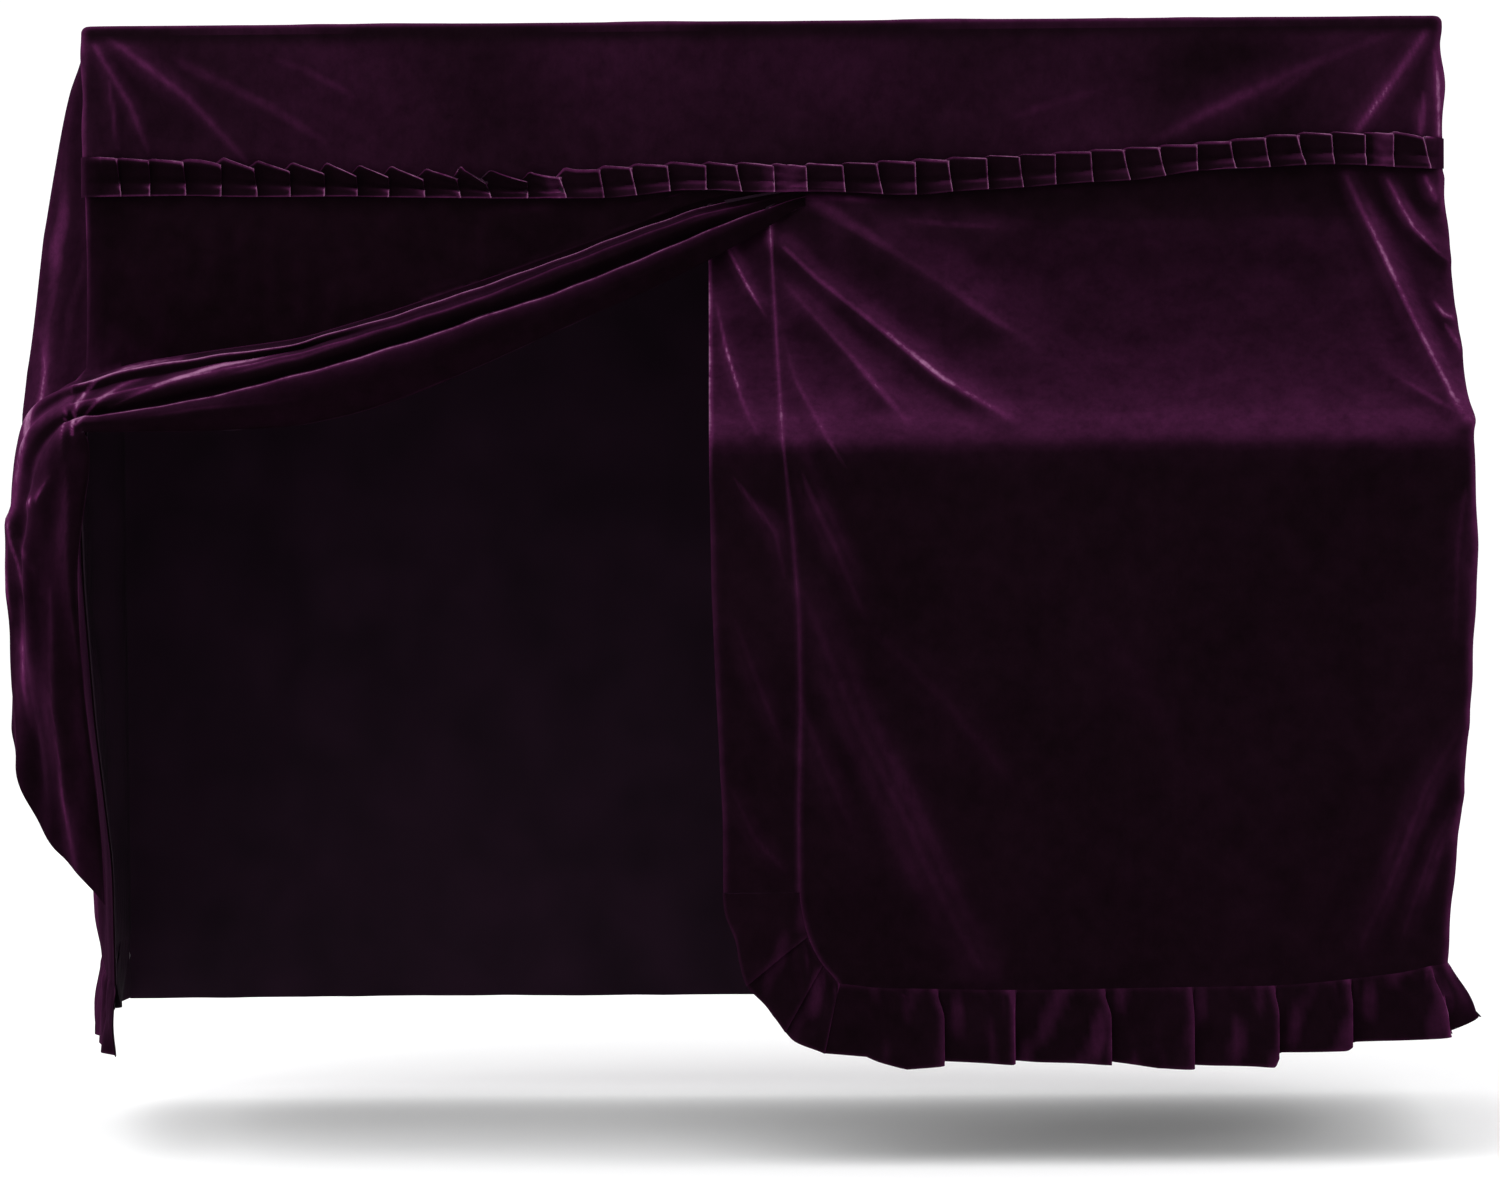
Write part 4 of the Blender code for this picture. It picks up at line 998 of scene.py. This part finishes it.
def side_ruffle(side):
    """Pleated strip below a side panel. On the right it flares and lifts towards the front."""
    right = side.sign > 0
    count = round((side_y(side, 1, SIDE_HEM) - side_y(side, 0, SIDE_HEM)) / HEM_PITCH)
    rng = np.random.RandomState(side.seed)
    spots = np.linspace(0, 1, count + 1)
    spots[1:-1] += rng.uniform(-0.015, 0.015, count - 1)
    folded, lift, along, shows = pleat_shares(tuple(spots))
    gathered = let_out(folded)
    lift = lift * ease(1, 0.96, folded)
    relief = HEM_RELIEF * (1 if right else 0.6)
    rows, shines = [], []
    for down in np.linspace(0, 1, 20):
        share = gathered + (folded - gathered) * ease(0, LET_OUT, down)
        y, reach, _ = side_face(side, share, SIDE_HEM)
        gathers = 0.003 * np.exp(-down / 0.3) * drift(y * 6, down * 0.05, 0.08, side.seed + 2)
        waves = 0.003 * down * drift(y, down * 0.08, 0.07, side.seed + 3)
        rise = lift * relief * down ** 0.7 + HEM_FLARE * right * ease(0.11, 0, share) * down \
            + (gathers + waves) * ease(0, 0.1, down)
        drop = RUFFLE_DROP - HEM_LIFT * right * ease(0.32, 0, share)
        z = SIDE_HEM - drop * down - 0.003 * down * (lift - 0.5)
        rows.append(points_of(side.sign * (reach + rise), y, z))
        # painted highlights on the pleats' folds and along the foot; on the left, painted shade, deeper
        # towards the front
        light = 0.5 * bell(np.clip(along, 0, 1) - 1, 0.05) * shows + 0.3 * ease(0.96, 1, down)
        shines.append(np.clip(light, 0, 1) - (0 if right else 0.5 + 0.4 * ease(0.35, 0.1, folded)))
    side_cloth("ruffle_", side, np.array(rows), np.array(shines), (0.84, 0.08), "gathered",
        "side_" + side.name, thick=FINE_THICK)


def back_panel():
    """Plain back: its outer face looks along +Y."""
    x = np.linspace(HALF_WIDTH, -HALF_WIDTH, 150)[None, :]
    z = np.linspace(0, SIDE_HEM - RUFFLE_DROP, 112)[:, None]
    wave = 0.006 * np.sin(pi * (x / HALF_WIDTH + 1)) + 0.004 * drift(x, z * 0.25, 0.22, 61) \
        + 0.0015 * drift(x, z * 0.4, 0.08, 62)
    share = np.abs(x) / HALF_WIDTH
    rise = wave * (ease(1, 0.8, share) * ease(-0.01, -0.6, z)) \
        + 0.0012 * drift(x, z, 0.12, 63) * ease(1, 0.95, share) * ease(-0.01, -0.05, z)
    # faint patches of painted light
    shine = 0.12 * np.clip(drift(x, z * 0.3, 0.2, 64), 0, 1)
    cloth("back_panel", [points_of(x, BACK + rise, z)], [shine], (1.516, 1.12), "hung", "top_panel")


# Studio

def studio():
    """A pale floor, a pale world and soft light from above and both sides."""
    mesh = bpy.data.meshes.new("floor")
    level, reach = FLOOR - DATUM, 30
    mesh.from_pydata([(-reach, -reach, level), (reach, -reach, level), (reach, reach, level),
        (-reach, reach, level)], [], [(0, 1, 2, 3)])
    mesh.materials.append(floor_material())
    floor = added("floor", mesh)

    world = bpy.data.worlds.new("studio")
    world.use_nodes = True
    background = world.node_tree.nodes["Background"]
    background.inputs["Color"].default_value = (1, 1, 1, 1)
    background.inputs["Strength"].default_value = 1.12
    bpy.context.scene.world = world

    aim = Vector((0, -0.2, -0.5))
    for name, place_at, size, energy in (("key_light", (-1.2, -3, 3.2), 4.5, 90),
            ("left_light", (-4, -1, 0.6), 2, 60),
            ("right_light", (4, -1.5, 1), 2, 40)):
        light = bpy.data.lights.new(name, "AREA")
        light.shape = "DISK"
        light.size = size
        light.energy = energy
        lamp = added(name, light)
        lamp.location = place_at
        lamp.rotation_euler = (aim - Vector(place_at)).to_track_quat("-Z", "Y").to_euler()


def camera():
    """The photograph's viewpoint."""
    pitch, yaw, roll = 0.043, -0.0092, -0.0076
    ahead = Vector((sin(yaw) * cos(pitch), cos(yaw) * cos(pitch), -sin(pitch)))
    level = Vector((cos(yaw), -sin(yaw), 0))
    up = level.cross(ahead)
    right = cos(roll) * level + sin(roll) * up
    top = -sin(roll) * level + cos(roll) * up
    lens = bpy.data.cameras.new("camera")
    lens.sensor_fit = "HORIZONTAL"
    lens.sensor_width = 36
    lens.lens = 139.63
    view = added("camera", lens)
    view.matrix_world = Matrix.Translation((0.0427, -6.6219, -0.3497 - DATUM)) @ \
        Matrix((right, top, -ahead)).transposed().to_4x4()
    bpy.context.scene.camera = view
    bpy.context.scene.view_settings.view_transform = "Standard"


for build in (camera, studio, top_panel, front_valance, header_ruffle, left_leaf, right_leaf, right_border,
        right_ruffle):
    build()
for build in (side_panel, side_ruffle):
    for side in SIDES:
        build(side)
back_panel()
